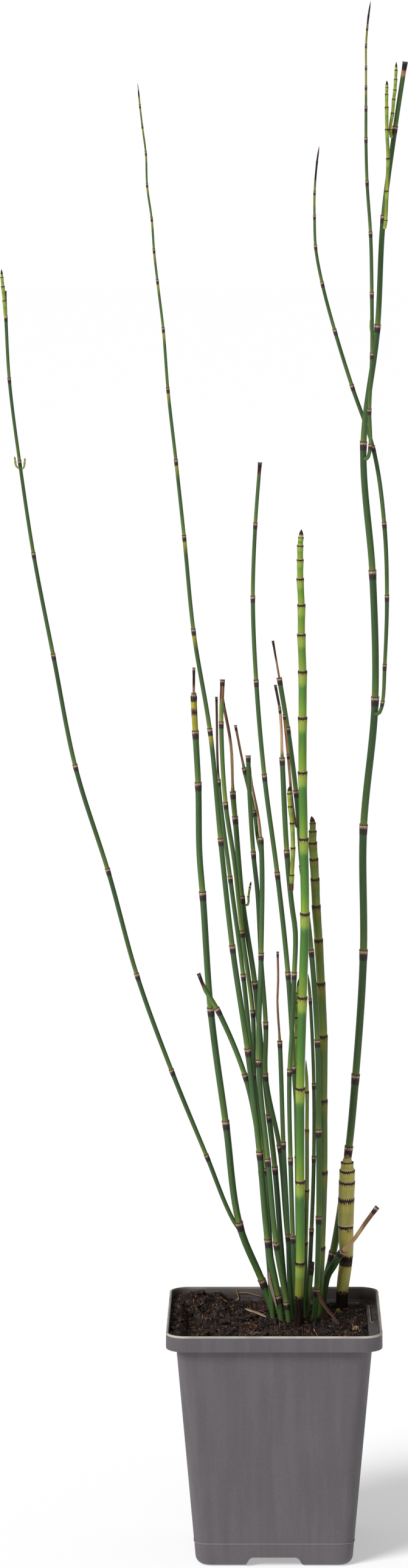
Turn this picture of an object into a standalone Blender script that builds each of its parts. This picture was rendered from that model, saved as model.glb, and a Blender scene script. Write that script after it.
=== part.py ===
"""Horsetail (rough horsetail, Equisetum) growing in a square nursery pot, with its soil.

Every stem is a jointed tube that stands in a plain hole in the soil. Sizes are millimetres
measured from the middle of the pot, and one empty moves the whole plant so that the origin
lies under the middle of the leaning plant. The build itself is in metres.
"""

import math
from dataclasses import dataclass, field

import bmesh
import bpy
from mathutils import Vector, noise

MM = 0.001

# Plant as a whole
PLANT_SHIFT_X = 30.0        # from the middle of the pot to the middle of the whole plant
CLEARANCE = 0.3             # between pieces that touch

# Pot: half widths across the flats, corner radii and heights
POT_HEIGHT = 98.5
POT_WALL = 1.1
FOOT_HALF = 29.8
BASE_HALF = 32.6
BODY_TOP_HALF = 40.8
RIM_HALF = 45.0
RIM_BAND_HEIGHT = 6.7
LEDGE_HEIGHT = POT_HEIGHT - RIM_BAND_HEIGHT
BASE_CORNER = 6.2
RIM_CORNER = 8.0
FLOOR_HEIGHT = 5.4
MOULD_LINE_HEIGHT = 9.5
MOULD_LINE_RELIEF = 0.25
MOULD_LINE_FLANK = (0.35, 0.05)     # height of each flank, and how far it stands out
FOOT_EDGE = (1.2, 0.8)              # height of the rounded foot edge, and how far it steps in
FOOT_TOP = 3.0
CORNER_STEPS = 5
CHANNEL_HEIGHT = 3.7
CHANNEL_TOP_WIDTH = 20.0
CHANNEL_FOOT_WIDTH = 24.0
CHANNEL_CUTTER_LENGTH = 2.4 * RIM_HALF
CHANNEL_CUTTER_FOOT = -2.0          # the cutter starts below the pot's underside
DRAIN_RADIUS = 4.0
DRAIN_SIDES = 16
DRAIN_CUTTER_DEPTH = 12.0
DRAIN_SPACING = 19.0

# Soil: a block whose top follows soil_height(). Mounds are (rise, x, y, spread x, spread y)
SOIL_LEVEL = 91.6
SOIL_CELLS = 19
BACK_LEFT_HEAP = (6.0, -31.0, 34.0, 12.0, 14.0)
LEFT_HOLLOW = (-3.0, -40.0, 12.0, 5.0, 12.0)
CROWN = (1.2, 12.0, 14.0, 16.0, 18.0)
CRUMB_HEIGHT = 1.1
CRUMBS_PER_MM = 0.13
CRUMB_SEED = 3.0
SKY_CUTTER_HALF = 1.15 * BODY_TOP_HALF
SKY_CUTTER_TOP = 1.3 * POT_HEIGHT
SOIL_BLOCK_TOP = 1.2 * POT_HEIGHT   # cut back to the soil's surface
LITTER_RINGS = 5
STEM_ROOT_Z = 86.0          # how far down the stems reach
HOLE_TOP = 125.0

# Jointed tubes. Lengths along the stem are a fixed part and a part that grows with its radius
SHEATH_FLARE = 1.14         # sheath mouth against the stem below it
SHEATH_STEP = 0.45          # height over which the mouth drops back to the next internode
SHEATH_LENGTH = (2.2, 1.8)
YOUNG_SHEATH_LENGTH = (2.2, 2.6)
CUT_SHEATH_LENGTH = (1.5, 1.6)
SHEATH_BELOW_JOINT = 0.6    # share of an old sheath below its route point, and above it
SHEATH_FOOT_NARROWING = 0.97
INTERNODE_NARROWING = 0.94  # each internode against the one below, at its foot
TIP_SHOULDER = (0.45, 0.85)  # how far back along the last internode, and its radius
TIP_POINT = 0.22
RIB_DEPTH = 0.07            # of the radius
HOLE_EASE = 1.08            # hole radius against a sheath's, before the clearance
STEM_SMOOTH = 2             # bevel resolution of a stem: eight sides
TWIG_SMOOTH = 1             # and of a thin side shoot: six sides
HOLE_SMOOTH = 3

JOINT = "joint"             # a sheath around the stem
BEND = "bend"               # a plain route point
CUT = "cut"                 # a stem broken off at its top sheath
TIP = "tip"                 # a pointed growing tip


@dataclass
class Stem:
    """One stem or side shoot: a route from its foot to its top, in millimetres.

    girths: (height, radius) pairs on the way from foot_radius to top_radius, where the taper
    isn't even.
    young: pale bulged sheaths with the joint at their mouth, as on this year's shoots.
    flush: how far its sheaths lie level with the stem, from 0 to 1.
    dry_from: the number of the route point above which the stem has dried and shrunk.
    """

    name: str
    colour: tuple
    foot_radius: float
    top_radius: float
    route: list
    girths: list = field(default_factory=list)
    young: bool = False
    flush: float = 0.0
    dry_from: int = 99
    dry_scale: float = 0.78
    ribs: int = 0
    smooth: int = STEM_SMOOTH
    branches: list = field(default_factory=list)
    in_soil: bool = True


# Colours, linear
POT_GREY = (0.105, 0.098, 0.096)
SOIL_BROWN = (0.030, 0.020, 0.014)
OLD_GREEN = (0.062, 0.150, 0.048)
FRESH_GREEN = (0.145, 0.300, 0.040)
BRIGHT_GREEN = (0.205, 0.370, 0.030)
OLIVE = (0.180, 0.190, 0.030)
CREAM = (0.480, 0.430, 0.140)
DRY_TAN = (0.420, 0.230, 0.110)
DRY_BROWN = (0.120, 0.055, 0.030)


def point(x, y, z, kind=JOINT):
    return (Vector((x, y, z)), kind)


def foot(x, y):
    """Where a stem ends in the soil."""
    return point(x, y, STEM_ROOT_Z, BEND)


# Stems on the left side of the clump

LEFT_BRANCH = Stem(
    "left_branch", OLD_GREEN, 0.93, 0.72, smooth=TWIG_SMOOTH,
    girths=[(180, 0.99), (320, 1.0), (400, 0.88), (470, 0.72)], route=[
        point(-14.5, 25, 127, BEND), point(-17.5, 25, 131.5, BEND), point(-28.5, 25, 158),
        point(-43.5, 25, 194.5), point(-58.5, 25, 235.5), point(-71, 25, 280.5),
        point(-85, 25, 325), point(-94.5, 25, 372.5), point(-103, 25, 416),
        point(-109, 25, 455.5), point(-113.5, 25, 491), point(-115, 25, 517.5),
        point(-115.5, 25, 529.5, CUT)])
LEFT_TWIG = Stem(
    "left_twig", OLIVE, 0.45, 0.4, smooth=TWIG_SMOOTH, route=[
        point(-109, 25, 453.5, BEND), point(-110.5, 24.6, 454.5, BEND), point(-111, 24.4, 456.5),
        point(-111.2, 24.3, 458.8, TIP)])
LEFT_TWIG_TWO = Stem(
    "left_twig_two", OLIVE, 0.45, 0.4, smooth=TWIG_SMOOTH, route=[
        point(-109, 25, 453, BEND), point(-107.4, 24.8, 454, BEND), point(-107, 24.7, 456),
        point(-106.8, 24.6, 458.2, TIP)])
D_TWIG = Stem(
    "dry_twig", OLIVE, 0.5, 0.45, smooth=TWIG_SMOOTH, route=[
        point(-13.2, 13.8, 268, BEND), point(-11.2, 12.6, 268.5, BEND), point(-10.9, 12.2, 272),
        point(-10.3, 12, 276), point(-9.8, 12, 278.5, TIP)])
RIGHT_TWIG = Stem(
    "right_twig", OLIVE, 0.5, 0.45, smooth=TWIG_SMOOTH, route=[
        point(44.3, 33, 511, BEND), point(42.2, 32, 511.5, BEND), point(41.6, 31.6, 514.5),
        point(41.6, 31.5, 518, TIP)])
FORK_BRANCH = Stem(
    "fork_branch", OLD_GREEN, 0.75, 0.98, dry_from=3, smooth=TWIG_SMOOTH, route=[
        point(-5.5, 2, 291.5, BEND), point(-7, 8.6, 297.5, BEND), point(-8.3, 12.5, 307),
        point(-12.5, 14, 325), point(-16.5, 15, 344.5, CUT)])
RIGHT_LONG_BRANCH = Stem(
    "right_long_branch", OLD_GREEN, 0.79, 0.38, smooth=TWIG_SMOOTH,
    girths=[(400, 0.91), (440, 0.95), (495, 0.86), (538, 0.72), (566, 0.54)], route=[
        point(43.1, 33, 347.5, BEND), point(45.3, 29.2, 348.5, BEND), point(46.5, 27, 352.5),
        point(47.5, 27, 368), point(48.5, 27, 397.5), point(47.5, 30, 428.5),
        point(43, 38, 461), point(34, 38, 487.5), point(26.5, 38, 511.5), point(21, 38, 532),
        point(18, 38, 548), point(17.5, 38, 561), point(17.5, 38, 571.5),
        point(18.5, 38, 584.5), point(19.5, 38, 592, TIP)])
RIGHT_HIGH_BRANCH = Stem(
    "right_high_branch", OLD_GREEN, 0.83, 0.37, smooth=TWIG_SMOOTH,
    girths=[(530, 0.83), (565, 0.73), (602, 0.66), (620, 0.47), (640, 0.45)], route=[
        point(38.7, 33, 457.5, BEND), point(40.3, 29.6, 458, BEND), point(41.3, 28, 462.5),
        point(41, 28, 477.5), point(42, 26, 501.5), point(42, 27, 527.5),
        point(41.5, 28, 553.5), point(40, 28, 575.5), point(39.5, 28, 594),
        point(39.5, 28, 607.5), point(39.5, 28, 616.5), point(39.5, 28, 625),
        point(39.5, 28, 634.5), point(40, 28, 642), point(40.5, 28, 647),
        point(41.5, 28, 654, TIP)])

STEMS = [
    Stem("stem_left_leaning", OLD_GREEN, 1.55, 1.3, dry_from=9, dry_scale=0.6,
         branches=[LEFT_BRANCH, LEFT_TWIG, LEFT_TWIG_TWO], route=[
             foot(1.5, 27), point(-4.5, 27, 103.5), point(-14.5, 25, 128.5),
             point(-20.5, 24, 172), point(-27, 24, 220.5), point(-30.5, 25, 270),
             point(-32, 26, 288.5, BEND), point(-32.5, 28, 316.5), point(-33.7, 29.7, 338.5),
             point(-34.5, 31, 354.5), point(-34.5, 31, 367.5, CUT)]),
    Stem("stem_tall_slender", OLD_GREEN, 1.4, 0.38,
         girths=[(230, 1.24), (356, 0.96), (475, 0.73), (525, 0.57), (605, 0.38)], route=[
        foot(4, 6), point(2, 5, 102), point(-2.5, 4, 126), point(-6, 2, 163.5),
        point(-11, 0, 207.5), point(-17.5, -2, 251.5), point(-22.5, -4, 297),
        point(-27, -4, 343.5), point(-34, -2, 385.5), point(-38, 0, 425), point(-41.5, 2, 457),
        point(-45, 4, 487.5), point(-47, 5, 513), point(-49.5, 6, 533.5), point(-51, 7, 546.5),
        point(-52, 8, 560), point(-54, 8, 574.5), point(-54.5, 8, 588), point(-56, 8, 599.5),
        point(-57, 8, 608), point(-58, 8, 618, TIP)]),
    Stem("stem_brown_top", OLD_GREEN, 1.1, 0.9, dry_from=6, route=[
        foot(0.5, 18), point(-2, 17, 112.5, BEND), point(-5.5, 14, 153),
        point(-9, 11, 195.5), point(-13, 8, 238), point(-18.5, 5, 280), point(-23.5, 4, 321),
        point(-24.5, 6, 357.5, CUT)]),
    Stem("stem_light_green", FRESH_GREEN, 1.05, 0.95, route=[
        foot(2.5, 22), point(-1, 21, 114, BEND), point(-3.5, 19, 153.5),
        point(-6, 17, 173.5, BEND), point(-8.5, 15, 195.5, BEND), point(-9, 14.5, 221.5),
        point(-13.5, 11, 256), point(-17, 10, 288, BEND), point(-20.5, 11, 310.5),
        point(-22.5, 14, 344.5), point(-22, 14, 364, CUT)]),
    Stem("stem_dry_above", OLD_GREEN, 1.2, 1.15, dry_from=8, branches=[D_TWIG], route=[
        foot(6.5, 22), point(3.5, 21, 115.5, BEND), point(0.5, 18, 154),
        point(-2, 16, 176.5), point(-5.5, 14, 207.5, BEND), point(-8, 12, 234),
        point(-13.5, 14, 270), point(-16.5, 17, 303.5), point(-17.5, 18, 314),
        point(-18.5, 19, 336, BEND), point(-22, 20, 355, CUT)]),
    Stem("stem_cut_short", OLD_GREEN, 1.1, 0.97, route=[
        foot(9, 17.5), point(7.5, 16, 108.5, BEND), point(5, 14, 135, BEND),
        point(2.5, 12, 164.5), point(-3.5, 9, 195.5), point(-3.5, 8, 217.5),
        point(-5.5, 8, 245.5, BEND), point(-7, 8, 274, BEND), point(-8.7, 7.5, 290),
        point(-10.7, 6, 322.5, BEND), point(-11, 7, 332.5, CUT)]),
    Stem("stem_forked", OLD_GREEN, 1.22, 1.03, dry_from=6, branches=[FORK_BRANCH], route=[
        foot(7, 3), point(5.5, 2, 100), point(1, 1, 125.5), point(-2.5, 0, 161),
        point(-6.5, -1, 203), point(-5.5, 0, 248), point(-5.5, 2, 296.5),
        point(-7, 9.8, 308, BEND), point(-9.8, 14, 321, BEND), point(-10.5, 14.5, 326.5, CUT)]),
    Stem("stem_crossing", OLD_GREEN, 1.22, 1.1, dry_from=5, dry_scale=0.95, route=[
        foot(0, 11.5), point(-3.5, 9, 136, BEND), point(-5.5, 7, 158),
        point(-7.5, 5.5, 175.5, BEND), point(-12, 5, 196), point(-23.5, 5, 224),
        point(-30, 6, 235, BEND), point(-32, 6, 240, CUT)]),
]

# Stems in the middle of the clump

STEMS += [
    Stem("stem_cut_tall", OLD_GREEN, 1.12, 0.78,
         girths=[(252, 1.09), (300, 1.02), (388, 0.94)], route=[
        foot(13, 10), point(11.5, 9, 126, BEND), point(10.5, 7, 167.5),
        point(8.5, 5, 199.5), point(6, 3, 239.5), point(1.5, 2, 282), point(-4, 2, 323.5),
        point(-7.5, 2, 363.5), point(-9, 3, 399), point(-8, 4, 430), point(-6, 5, 457, CUT)]),
    Stem("stem_brown_short", OLD_GREEN, 1.05, 0.95, dry_from=4, dry_scale=0.7, route=[
        foot(7.8, 10.5), point(6.5, 9, 110.5, BEND), point(6, 8, 127.5),
        point(4, 6, 167), point(2.5, 5, 210), point(1.4, 5, 229.5, BEND),
        point(1.7, 5, 236.5, BEND), point(1.5, 5, 249.5, CUT)]),
    Stem("stem_tan_top", OLD_GREEN, 1.1, 0.95,
         girths=[(172, 0.97), (204, 0.97), (264, 1.14), (318, 1.14)], dry_from=9, route=[
        foot(9.5, 6.5), point(8, 4, 127.5), point(7, 2, 161), point(6.5, 0, 199),
        point(7.5, -1, 216, BEND), point(8.5, -1, 240), point(9, 0, 259, BEND),
        point(7.5, 1, 270, BEND), point(5.5, 3, 291), point(3.5, 5, 330), point(2.5, 6, 351.5),
        point(0.5, 6, 362.5, CUT)]),
    Stem("shoot_on_tan_top", BRIGHT_GREEN, 0.98, 0.9, young=True, in_soil=False,
         smooth=TWIG_SMOOTH, route=[
        point(7.3, -1.1, 276.5, BEND), point(7.5, -1.3, 283), point(8, -1.3, 294.5),
        point(7.6, -1.3, 305), point(6.8, -1.3, 312), point(6.5, -1.3, 317.5),
        point(6.5, -1.3, 320.5, TIP)]),
    Stem("stem_dry_thin", DRY_TAN, 0.55, 0.6, in_soil=False, smooth=TWIG_SMOOTH, route=[
        point(9.6, 12.6, 301.5, BEND), point(8.6, 11.6, 306, BEND), point(6, 11, 331.5),
        point(4.3, 11, 349.5, CUT)]),
    Stem("stem_front_right", OLD_GREEN, 1.25, 1.03, dry_from=9, dry_scale=0.62, route=[
        foot(16.3, 6), point(18, 6, 104.5), point(19, 7, 135), point(19, 9, 171.5),
        point(18.5, 10, 209.5), point(16, 12, 247.5), point(12, 14, 283), point(9.5, 15, 315),
        point(6, 15, 342), point(2.5, 15, 363), point(-0.5, 15, 380.5, CUT)]),
    Stem("shoot_bright", FRESH_GREEN, 1.92, 0.85, young=True, ribs=8,
         girths=[(277, 1.85), (362, 1.75), (392, 1.55), (413, 1.32), (422, 1.22)], route=[
        foot(10.5, -2), point(10.5, -2, 103, BEND), point(11, -3, 119.5),
        point(11, -4, 154), point(11, -5, 193.5), point(12, -6, 232), point(13, -7, 267.5),
        point(12.5, -7, 299), point(12, -7, 327), point(12, -7, 350), point(12, -7, 369.5),
        point(11.5, -7, 385), point(11.5, -7, 397.5), point(11, -7, 408.5),
        point(11, -7, 416.5), point(11, -7, 422.5), point(11.3, -7, 426),
        point(11.5, -7, 429.5, TIP)]),
    Stem("shoot_olive", OLIVE, 1.82, 0.95, young=True, flush=0.4, ribs=7,
         girths=[(290, 1.8), (297, 1.6), (302.5, 1.15)], route=[
        foot(18.5, 17), point(20, 17, 121.5), point(21, 18, 153.5),
        point(21, 18, 184), point(21, 18, 211.5), point(20, 18, 234), point(19, 18, 252.5),
        point(18, 18, 267), point(17.5, 18, 278.5), point(17, 18, 287), point(16.5, 18, 294),
        point(16.5, 18, 299), point(16.5, 18, 302.5), point(16, 18, 305.5, TIP)]),
    Stem("shoot_small_yellow", BRIGHT_GREEN, 0.85, 0.62, young=True, route=[
        foot(10.3, 14), point(9.5, 11, 161.5), point(9, 9.5, 190.5),
        point(9, 9, 202), point(9.2, 8, 213), point(9.5, 7, 221.5), point(9.7, 6.5, 228),
        point(10, 6, 232), point(10.2, 6, 234.5), point(10.5, 6, 238, TIP)]),
    Stem("shoot_small_olive", OLIVE, 1.05, 0.75, young=True, route=[
        foot(13, 17.5), point(13.5, 13, 124.5), point(14, 10, 147.5),
        point(14, 8, 173.5), point(14, 7, 190), point(13.5, 6, 203.5, TIP)]),
    Stem("stem_thin_right", OLD_GREEN, 1.0, 0.7, route=[
        foot(14, 22), point(16, 21, 127), point(17, 19, 158.5),
        point(17, 17.3, 190), point(15.5, 16, 226.5), point(14.5, 16, 238.5, TIP)]),
    Stem("stem_stub_low", FRESH_GREEN, 0.95, 0.9, route=[
        foot(12.6, 13.3), point(13.8, 12.5, 94, BEND), point(16, 11, 113),
        point(16.2, 11, 116.5, CUT)]),
]

# Stems at the back right

STEMS += [
    Stem("shoot_cream", CREAM, 2.5, 1.2, young=True, flush=0.85, ribs=9,
         girths=[(104, 2.6), (119, 3.0), (129, 3.4), (147.5, 3.4), (152.5, 3.15), (156, 2.3)], route=[
        foot(29, 29), point(29.3, 29, 100, BEND), point(31, 28, 115), point(30.8, 27, 129),
        point(31, 27, 140), point(31.3, 27, 147.5), point(31.4, 26.5, 152.5),
        point(31.4, 26.5, 156), point(31.4, 26.5, 159.5, TIP)]),
    Stem("stem_stub_right", OLD_GREEN, 1.55, 1.3, dry_from=3, dry_scale=1.0,
         girths=[(107, 1.6), (118, 1.55), (123.5, 1.25)], route=[
        foot(20.5, 28.5), point(22.5, 25, 107, BEND), point(25.5, 23, 112.5, BEND),
        point(28.5, 21, 118), point(33.5, 20, 123.5, BEND), point(39.5, 20, 132, BEND),
        point(44, 20, 138, CUT)]),
    Stem("stem_tall_right", OLD_GREEN, 1.66, 1.02,
         girths=[(270, 1.65), (430, 1.49), (500, 1.3)],
         branches=[RIGHT_LONG_BRANCH, RIGHT_HIGH_BRANCH, RIGHT_TWIG], route=[
             foot(19.5, 34), point(22.5, 34, 104.5, BEND), point(25, 34, 113.5),
             point(32, 33, 159), point(35, 33, 190), point(38.5, 33, 243.5),
             point(38.5, 33, 297.5), point(43.5, 33, 352.5), point(42.5, 33, 407),
             point(38.5, 33, 462.5), point(44.5, 33, 513), point(47, 33, 560),
             point(52, 33, 598.5), point(56.5, 33, 628, CUT)]),
    Stem("shoot_right_upper", BRIGHT_GREEN, 0.78, 0.6,
         girths=[(605, 0.76)], young=True, in_soil=False,
         smooth=TWIG_SMOOTH, route=[
        point(47.6, 30.6, 556.5, BEND), point(48, 29.7, 560), point(48.5, 29.3, 572.5),
        point(49, 29.2, 586.5), point(48.5, 29.2, 599), point(48.4, 29.2, 608.5),
        point(48.4, 29.2, 614), point(48.5, 29.2, 617), point(48.5, 29.2, 620, TIP)]),
    Stem("shoot_right_top", BRIGHT_GREEN, 0.72, 0.5,
         girths=[(620, 0.7)], young=True, in_soil=False,
         smooth=TWIG_SMOOTH, route=[
        point(50.5, 31, 595.5, BEND), point(50, 30.9, 599), point(51, 30.9, 606),
        point(51.5, 30.9, 612), point(52, 30.9, 616), point(52.3, 30.9, 620.5),
        point(52.5, 30.9, 624.5), point(52.6, 30.9, 628, TIP)]),
    Stem("shoot_far_left", BRIGHT_GREEN, 0.74, 0.5,
         girths=[(529, 0.74)], young=True, in_soil=False,
         smooth=TWIG_SMOOTH, route=[
        point(-115.1, 22.9, 518.5, BEND), point(-115.6, 22.8, 525.5),
        point(-116.2, 22.8, 531.5), point(-116.6, 22.8, 535.5), point(-116.8, 22.8, 539, TIP)]),
]


def soil_height(x, y):
    """Height of the soil's top at a place, with the heap at the back left and the crumbs."""
    height = SOIL_LEVEL
    for rise, middle_x, middle_y, spread_x, spread_y in (BACK_LEFT_HEAP, LEFT_HOLLOW, CROWN):
        off = ((x - middle_x) / spread_x) ** 2 + ((y - middle_y) / spread_y) ** 2
        height += rise * math.exp(-off)
    crumb = noise.noise(Vector((x * CRUMBS_PER_MM, y * CRUMBS_PER_MM, CRUMB_SEED)))
    return height + CRUMB_HEIGHT * crumb


def clear_scene():
    for old in list(bpy.data.objects):
        bpy.data.objects.remove(old, do_unlink=True)


def new_collection(name):
    collection = bpy.data.collections.new(name)
    bpy.context.scene.collection.children.link(collection)
    return collection


def new_material(name, colour, roughness):
    material = bpy.data.materials.new(name)
    material.use_nodes = True
    surface = material.node_tree.nodes["Principled BSDF"]
    surface.inputs["Base Color"].default_value = (*colour, 1.0)
    surface.inputs["Roughness"].default_value = roughness
    surface.inputs["Metallic"].default_value = 0.0
    return material


def object_from_bmesh(bm, name, collection):
    """Close a bmesh into an object with outward faces."""
    bmesh.ops.recalc_face_normals(bm, faces=bm.faces)
    mesh = bpy.data.meshes.new(name)
    bm.to_mesh(mesh)
    bm.free()
    obj = bpy.data.objects.new(name, mesh)
    collection.objects.link(obj)
    return obj


def as_cutter(obj):
    obj.hide_render = True
    obj.display_type = "WIRE"
    return obj


def rounded_square(half, corner, z):
    """Points around a square with rounded corners, lying flat at one height."""
    points = []
    for turn in range(4):
        middle = math.radians(45.0 + 90.0 * turn)
        centre = Vector((math.copysign(half - corner, math.cos(middle)),
                         math.copysign(half - corner, math.sin(middle)), z))
        for step in range(CORNER_STEPS + 1):
            angle = math.radians(90.0 * turn + 90.0 * step / CORNER_STEPS)
            points.append(centre + corner * Vector((math.cos(angle), math.sin(angle), 0.0)))
    return points


def loft(levels, name, collection):
    """A closed body through rounded squares of (half width, corner radius, height)."""
    bm = bmesh.new()
    rings = [[bm.verts.new(p * MM) for p in rounded_square(*level)] for level in levels]
    count = len(rings[0])
    for low, high in zip(rings, rings[1:]):
        for i in range(count):
            bm.faces.new((low[i], low[(i + 1) % count], high[(i + 1) % count], high[i]))
    bm.faces.new(rings[0])
    bm.faces.new(rings[-1])
    return object_from_bmesh(bm, name, collection)


def body_half(z):
    """Half width of the pot's tapered outside at a height."""
    return BASE_HALF + (BODY_TOP_HALF - BASE_HALF) * z / LEDGE_HEIGHT


def boolean(obj, operation, operand, name):
    modifier = obj.modifiers.new(name, "BOOLEAN")
    modifier.operation = operation
    modifier.solver = "EXACT"
    if isinstance(operand, bpy.types.Collection):
        modifier.operand_type = "COLLECTION"
        modifier.collection = operand
    else:
        modifier.object = operand
    return modifier


def build_pot(parts, cutters):
    """The pot: foot, tapered body, stepped rim band and the shell's inside."""
    inner_ledge = LEDGE_HEIGHT + POT_WALL
    line = MOULD_LINE_HEIGHT
    edge_height, edge_step = FOOT_EDGE
    flank_height, flank_step = MOULD_LINE_FLANK
    levels = [
        (FOOT_HALF, BASE_CORNER - 2.0, 0.0),
        (body_half(edge_height) - edge_step, BASE_CORNER - 0.5, edge_height),
        (body_half(FOOT_TOP), BASE_CORNER, FOOT_TOP),
        (body_half(line) - flank_step, BASE_CORNER, line - flank_height),
        (body_half(line) + MOULD_LINE_RELIEF, BASE_CORNER, line),
        (body_half(line) + flank_step, BASE_CORNER, line + flank_height),
        (BODY_TOP_HALF, RIM_CORNER - 1.0, LEDGE_HEIGHT),
        (RIM_HALF - 0.3, RIM_CORNER, LEDGE_HEIGHT),
        (RIM_HALF, RIM_CORNER, LEDGE_HEIGHT + 0.4),
        (RIM_HALF, RIM_CORNER, POT_HEIGHT - 0.5),
        (RIM_HALF - 0.35, RIM_CORNER, POT_HEIGHT),
        (RIM_HALF - POT_WALL + 0.1, RIM_CORNER - 0.6, POT_HEIGHT),
        (RIM_HALF - POT_WALL, RIM_CORNER - 0.8, inner_ledge),
        (BODY_TOP_HALF - POT_WALL, RIM_CORNER - 2.0, inner_ledge),
        (body_half(FLOOR_HEIGHT) - POT_WALL, BASE_CORNER - 1.0, FLOOR_HEIGHT),
    ]
    pot = loft(levels, "pot", parts)
    pot.data.materials.append(new_material("pot", POT_GREY, 0.55))
    for turn in range(2):
        boolean(pot, "DIFFERENCE", channel_cutter(turn, cutters), f"foot_channel_{turn}")
    spots = [(0.0, 0.0)] + [(DRAIN_SPACING * math.cos(a), DRAIN_SPACING * math.sin(a))
                            for a in (0.0, math.pi / 2, math.pi, 3 * math.pi / 2)]
    for number, spot in enumerate(spots):
        boolean(pot, "DIFFERENCE", drain_cutter(spot, cutters), f"drain_hole_{number}")
    return pot


def channel_cutter(turn, cutters):
    """A bar across the pot's underside, wider at the foot than at its top."""
    bm = bmesh.new()
    bmesh.ops.create_cube(bm, size=1.0)
    length = CHANNEL_CUTTER_LENGTH
    top, bottom = CHANNEL_HEIGHT, CHANNEL_CUTTER_FOOT
    slope = (CHANNEL_FOOT_WIDTH - CHANNEL_TOP_WIDTH) / CHANNEL_HEIGHT
    for vert in bm.verts:
        z = top if vert.co.z > 0 else bottom
        width = CHANNEL_TOP_WIDTH + slope * (top - z)
        across, along = math.copysign(width / 2, vert.co.x), math.copysign(length / 2, vert.co.y)
        vert.co = Vector((across, along, z) if turn == 0 else (-along, across, z)) * MM
    return as_cutter(object_from_bmesh(bm, f"channel_cutter_{turn}", cutters))


def drain_cutter(spot, cutters):
    bm = bmesh.new()
    bmesh.ops.create_cone(bm, cap_ends=True, segments=DRAIN_SIDES, radius1=DRAIN_RADIUS * MM,
                          radius2=DRAIN_RADIUS * MM, depth=DRAIN_CUTTER_DEPTH * MM)
    bmesh.ops.translate(bm, verts=bm.verts, vec=Vector((*spot, CHANNEL_HEIGHT)) * MM)
    return as_cutter(object_from_bmesh(bm, "drain_cutter", cutters))


def sky_cutter(cutters):
    """Everything above the soil: a sheet that follows soil_height(), raised into a block."""
    half = SKY_CUTTER_HALF
    bm = bmesh.new()
    bmesh.ops.create_grid(bm, x_segments=SOIL_CELLS, y_segments=SOIL_CELLS, size=half * MM)
    for vert in bm.verts:
        vert.co.z = soil_height(vert.co.x / MM, vert.co.y / MM) * MM
    raised = bmesh.ops.extrude_face_region(bm, geom=bm.faces[:])["geom"]
    for vert in (v for v in raised if isinstance(v, bmesh.types.BMVert)):
        vert.co.z = SKY_CUTTER_TOP * MM
    return as_cutter(object_from_bmesh(bm, "sky_cutter", cutters))


def build_soil(parts, cutters, holes):
    """The soil fills the pot just clear of its walls, with a hole for each stem."""
    floor = FLOOR_HEIGHT + CLEARANCE
    gap = POT_WALL + CLEARANCE
    levels = [
        (body_half(floor) - gap, BASE_CORNER - 1.0, floor),
        (BODY_TOP_HALF - gap, RIM_CORNER - 2.0, LEDGE_HEIGHT + POT_WALL),
        (BODY_TOP_HALF - gap, RIM_CORNER - 2.0, SOIL_BLOCK_TOP),
    ]
    soil = loft(levels, "soil", parts)
    soil.data.materials.append(new_material("soil", SOIL_BROWN, 0.95))
    boolean(soil, "DIFFERENCE", sky_cutter(cutters), "surface")
    boolean(soil, "DIFFERENCE", holes, "stem_holes")
    return soil


def plain_radius(stem, height):
    """A stem's radius at a height: from its foot, through its girths, to its top."""
    profile = [(stem.route[0][0].z, stem.foot_radius), *stem.girths,
               (stem.route[-1][0].z, stem.top_radius)]
    for (low, start), (high, end) in zip(profile, profile[1:]):
        if height <= high:
            return start + (end - start) * (height - low) / (high - low)
    return stem.top_radius


def ring_list(stem):
    """Centres and radii of a stem's rings, from foot to top, in millimetres."""
    places = [place for place, _ in stem.route]
    rings = []
    for number, (place, kind) in enumerate(stem.route):
        radius = plain_radius(stem, place.z)
        if number > stem.dry_from:
            radius *= stem.dry_scale
        before = places[number] - places[number - 1] if number else places[1] - places[0]
        after = places[number + 1] - place if number + 1 < len(places) else before
        if kind == BEND:
            rings.append((place, radius))
        elif kind == TIP:
            back, narrowing = TIP_SHOULDER
            rings.append((place - back * before, narrowing * radius))
            rings.append((place, TIP_POINT * radius))
        elif kind == CUT:
            fixed, grown = CUT_SHEATH_LENGTH
            sheath = min(fixed + grown * radius, 0.6 * before.length)
            rings.append((place - before.normalized() * sheath, radius))
            rings.append((place, SHEATH_FLARE * radius))
        else:
            rings += joint_rings(stem, number, place, radius, before, after)
    return rings


def joint_rings(stem, number, place, radius, before, after):
    """Three rings: under the sheath, at its mouth, and the internode that leaves it."""
    proud = 1.0 - stem.flush
    next_radius = (1.0 - proud * (1.0 - INTERNODE_NARROWING)) * radius
    if number == stem.dry_from:
        next_radius *= stem.dry_scale
    fixed, grown = YOUNG_SHEATH_LENGTH if stem.young else SHEATH_LENGTH
    down = min(fixed + grown * radius, 0.45 * before.length)
    up = 0.0
    if not stem.young:
        up = min(SHEATH_BELOW_JOINT * down, 0.3 * after.length)
        down *= SHEATH_BELOW_JOINT
    step = min(SHEATH_STEP, 0.25 * after.length)
    mouth = place + after.normalized() * up
    return [(place - before.normalized() * down, SHEATH_FOOT_NARROWING * radius),
            (mouth, (1.0 + proud * (SHEATH_FLARE - 1.0)) * radius),
            (mouth + after.normalized() * step, next_radius)]


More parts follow.
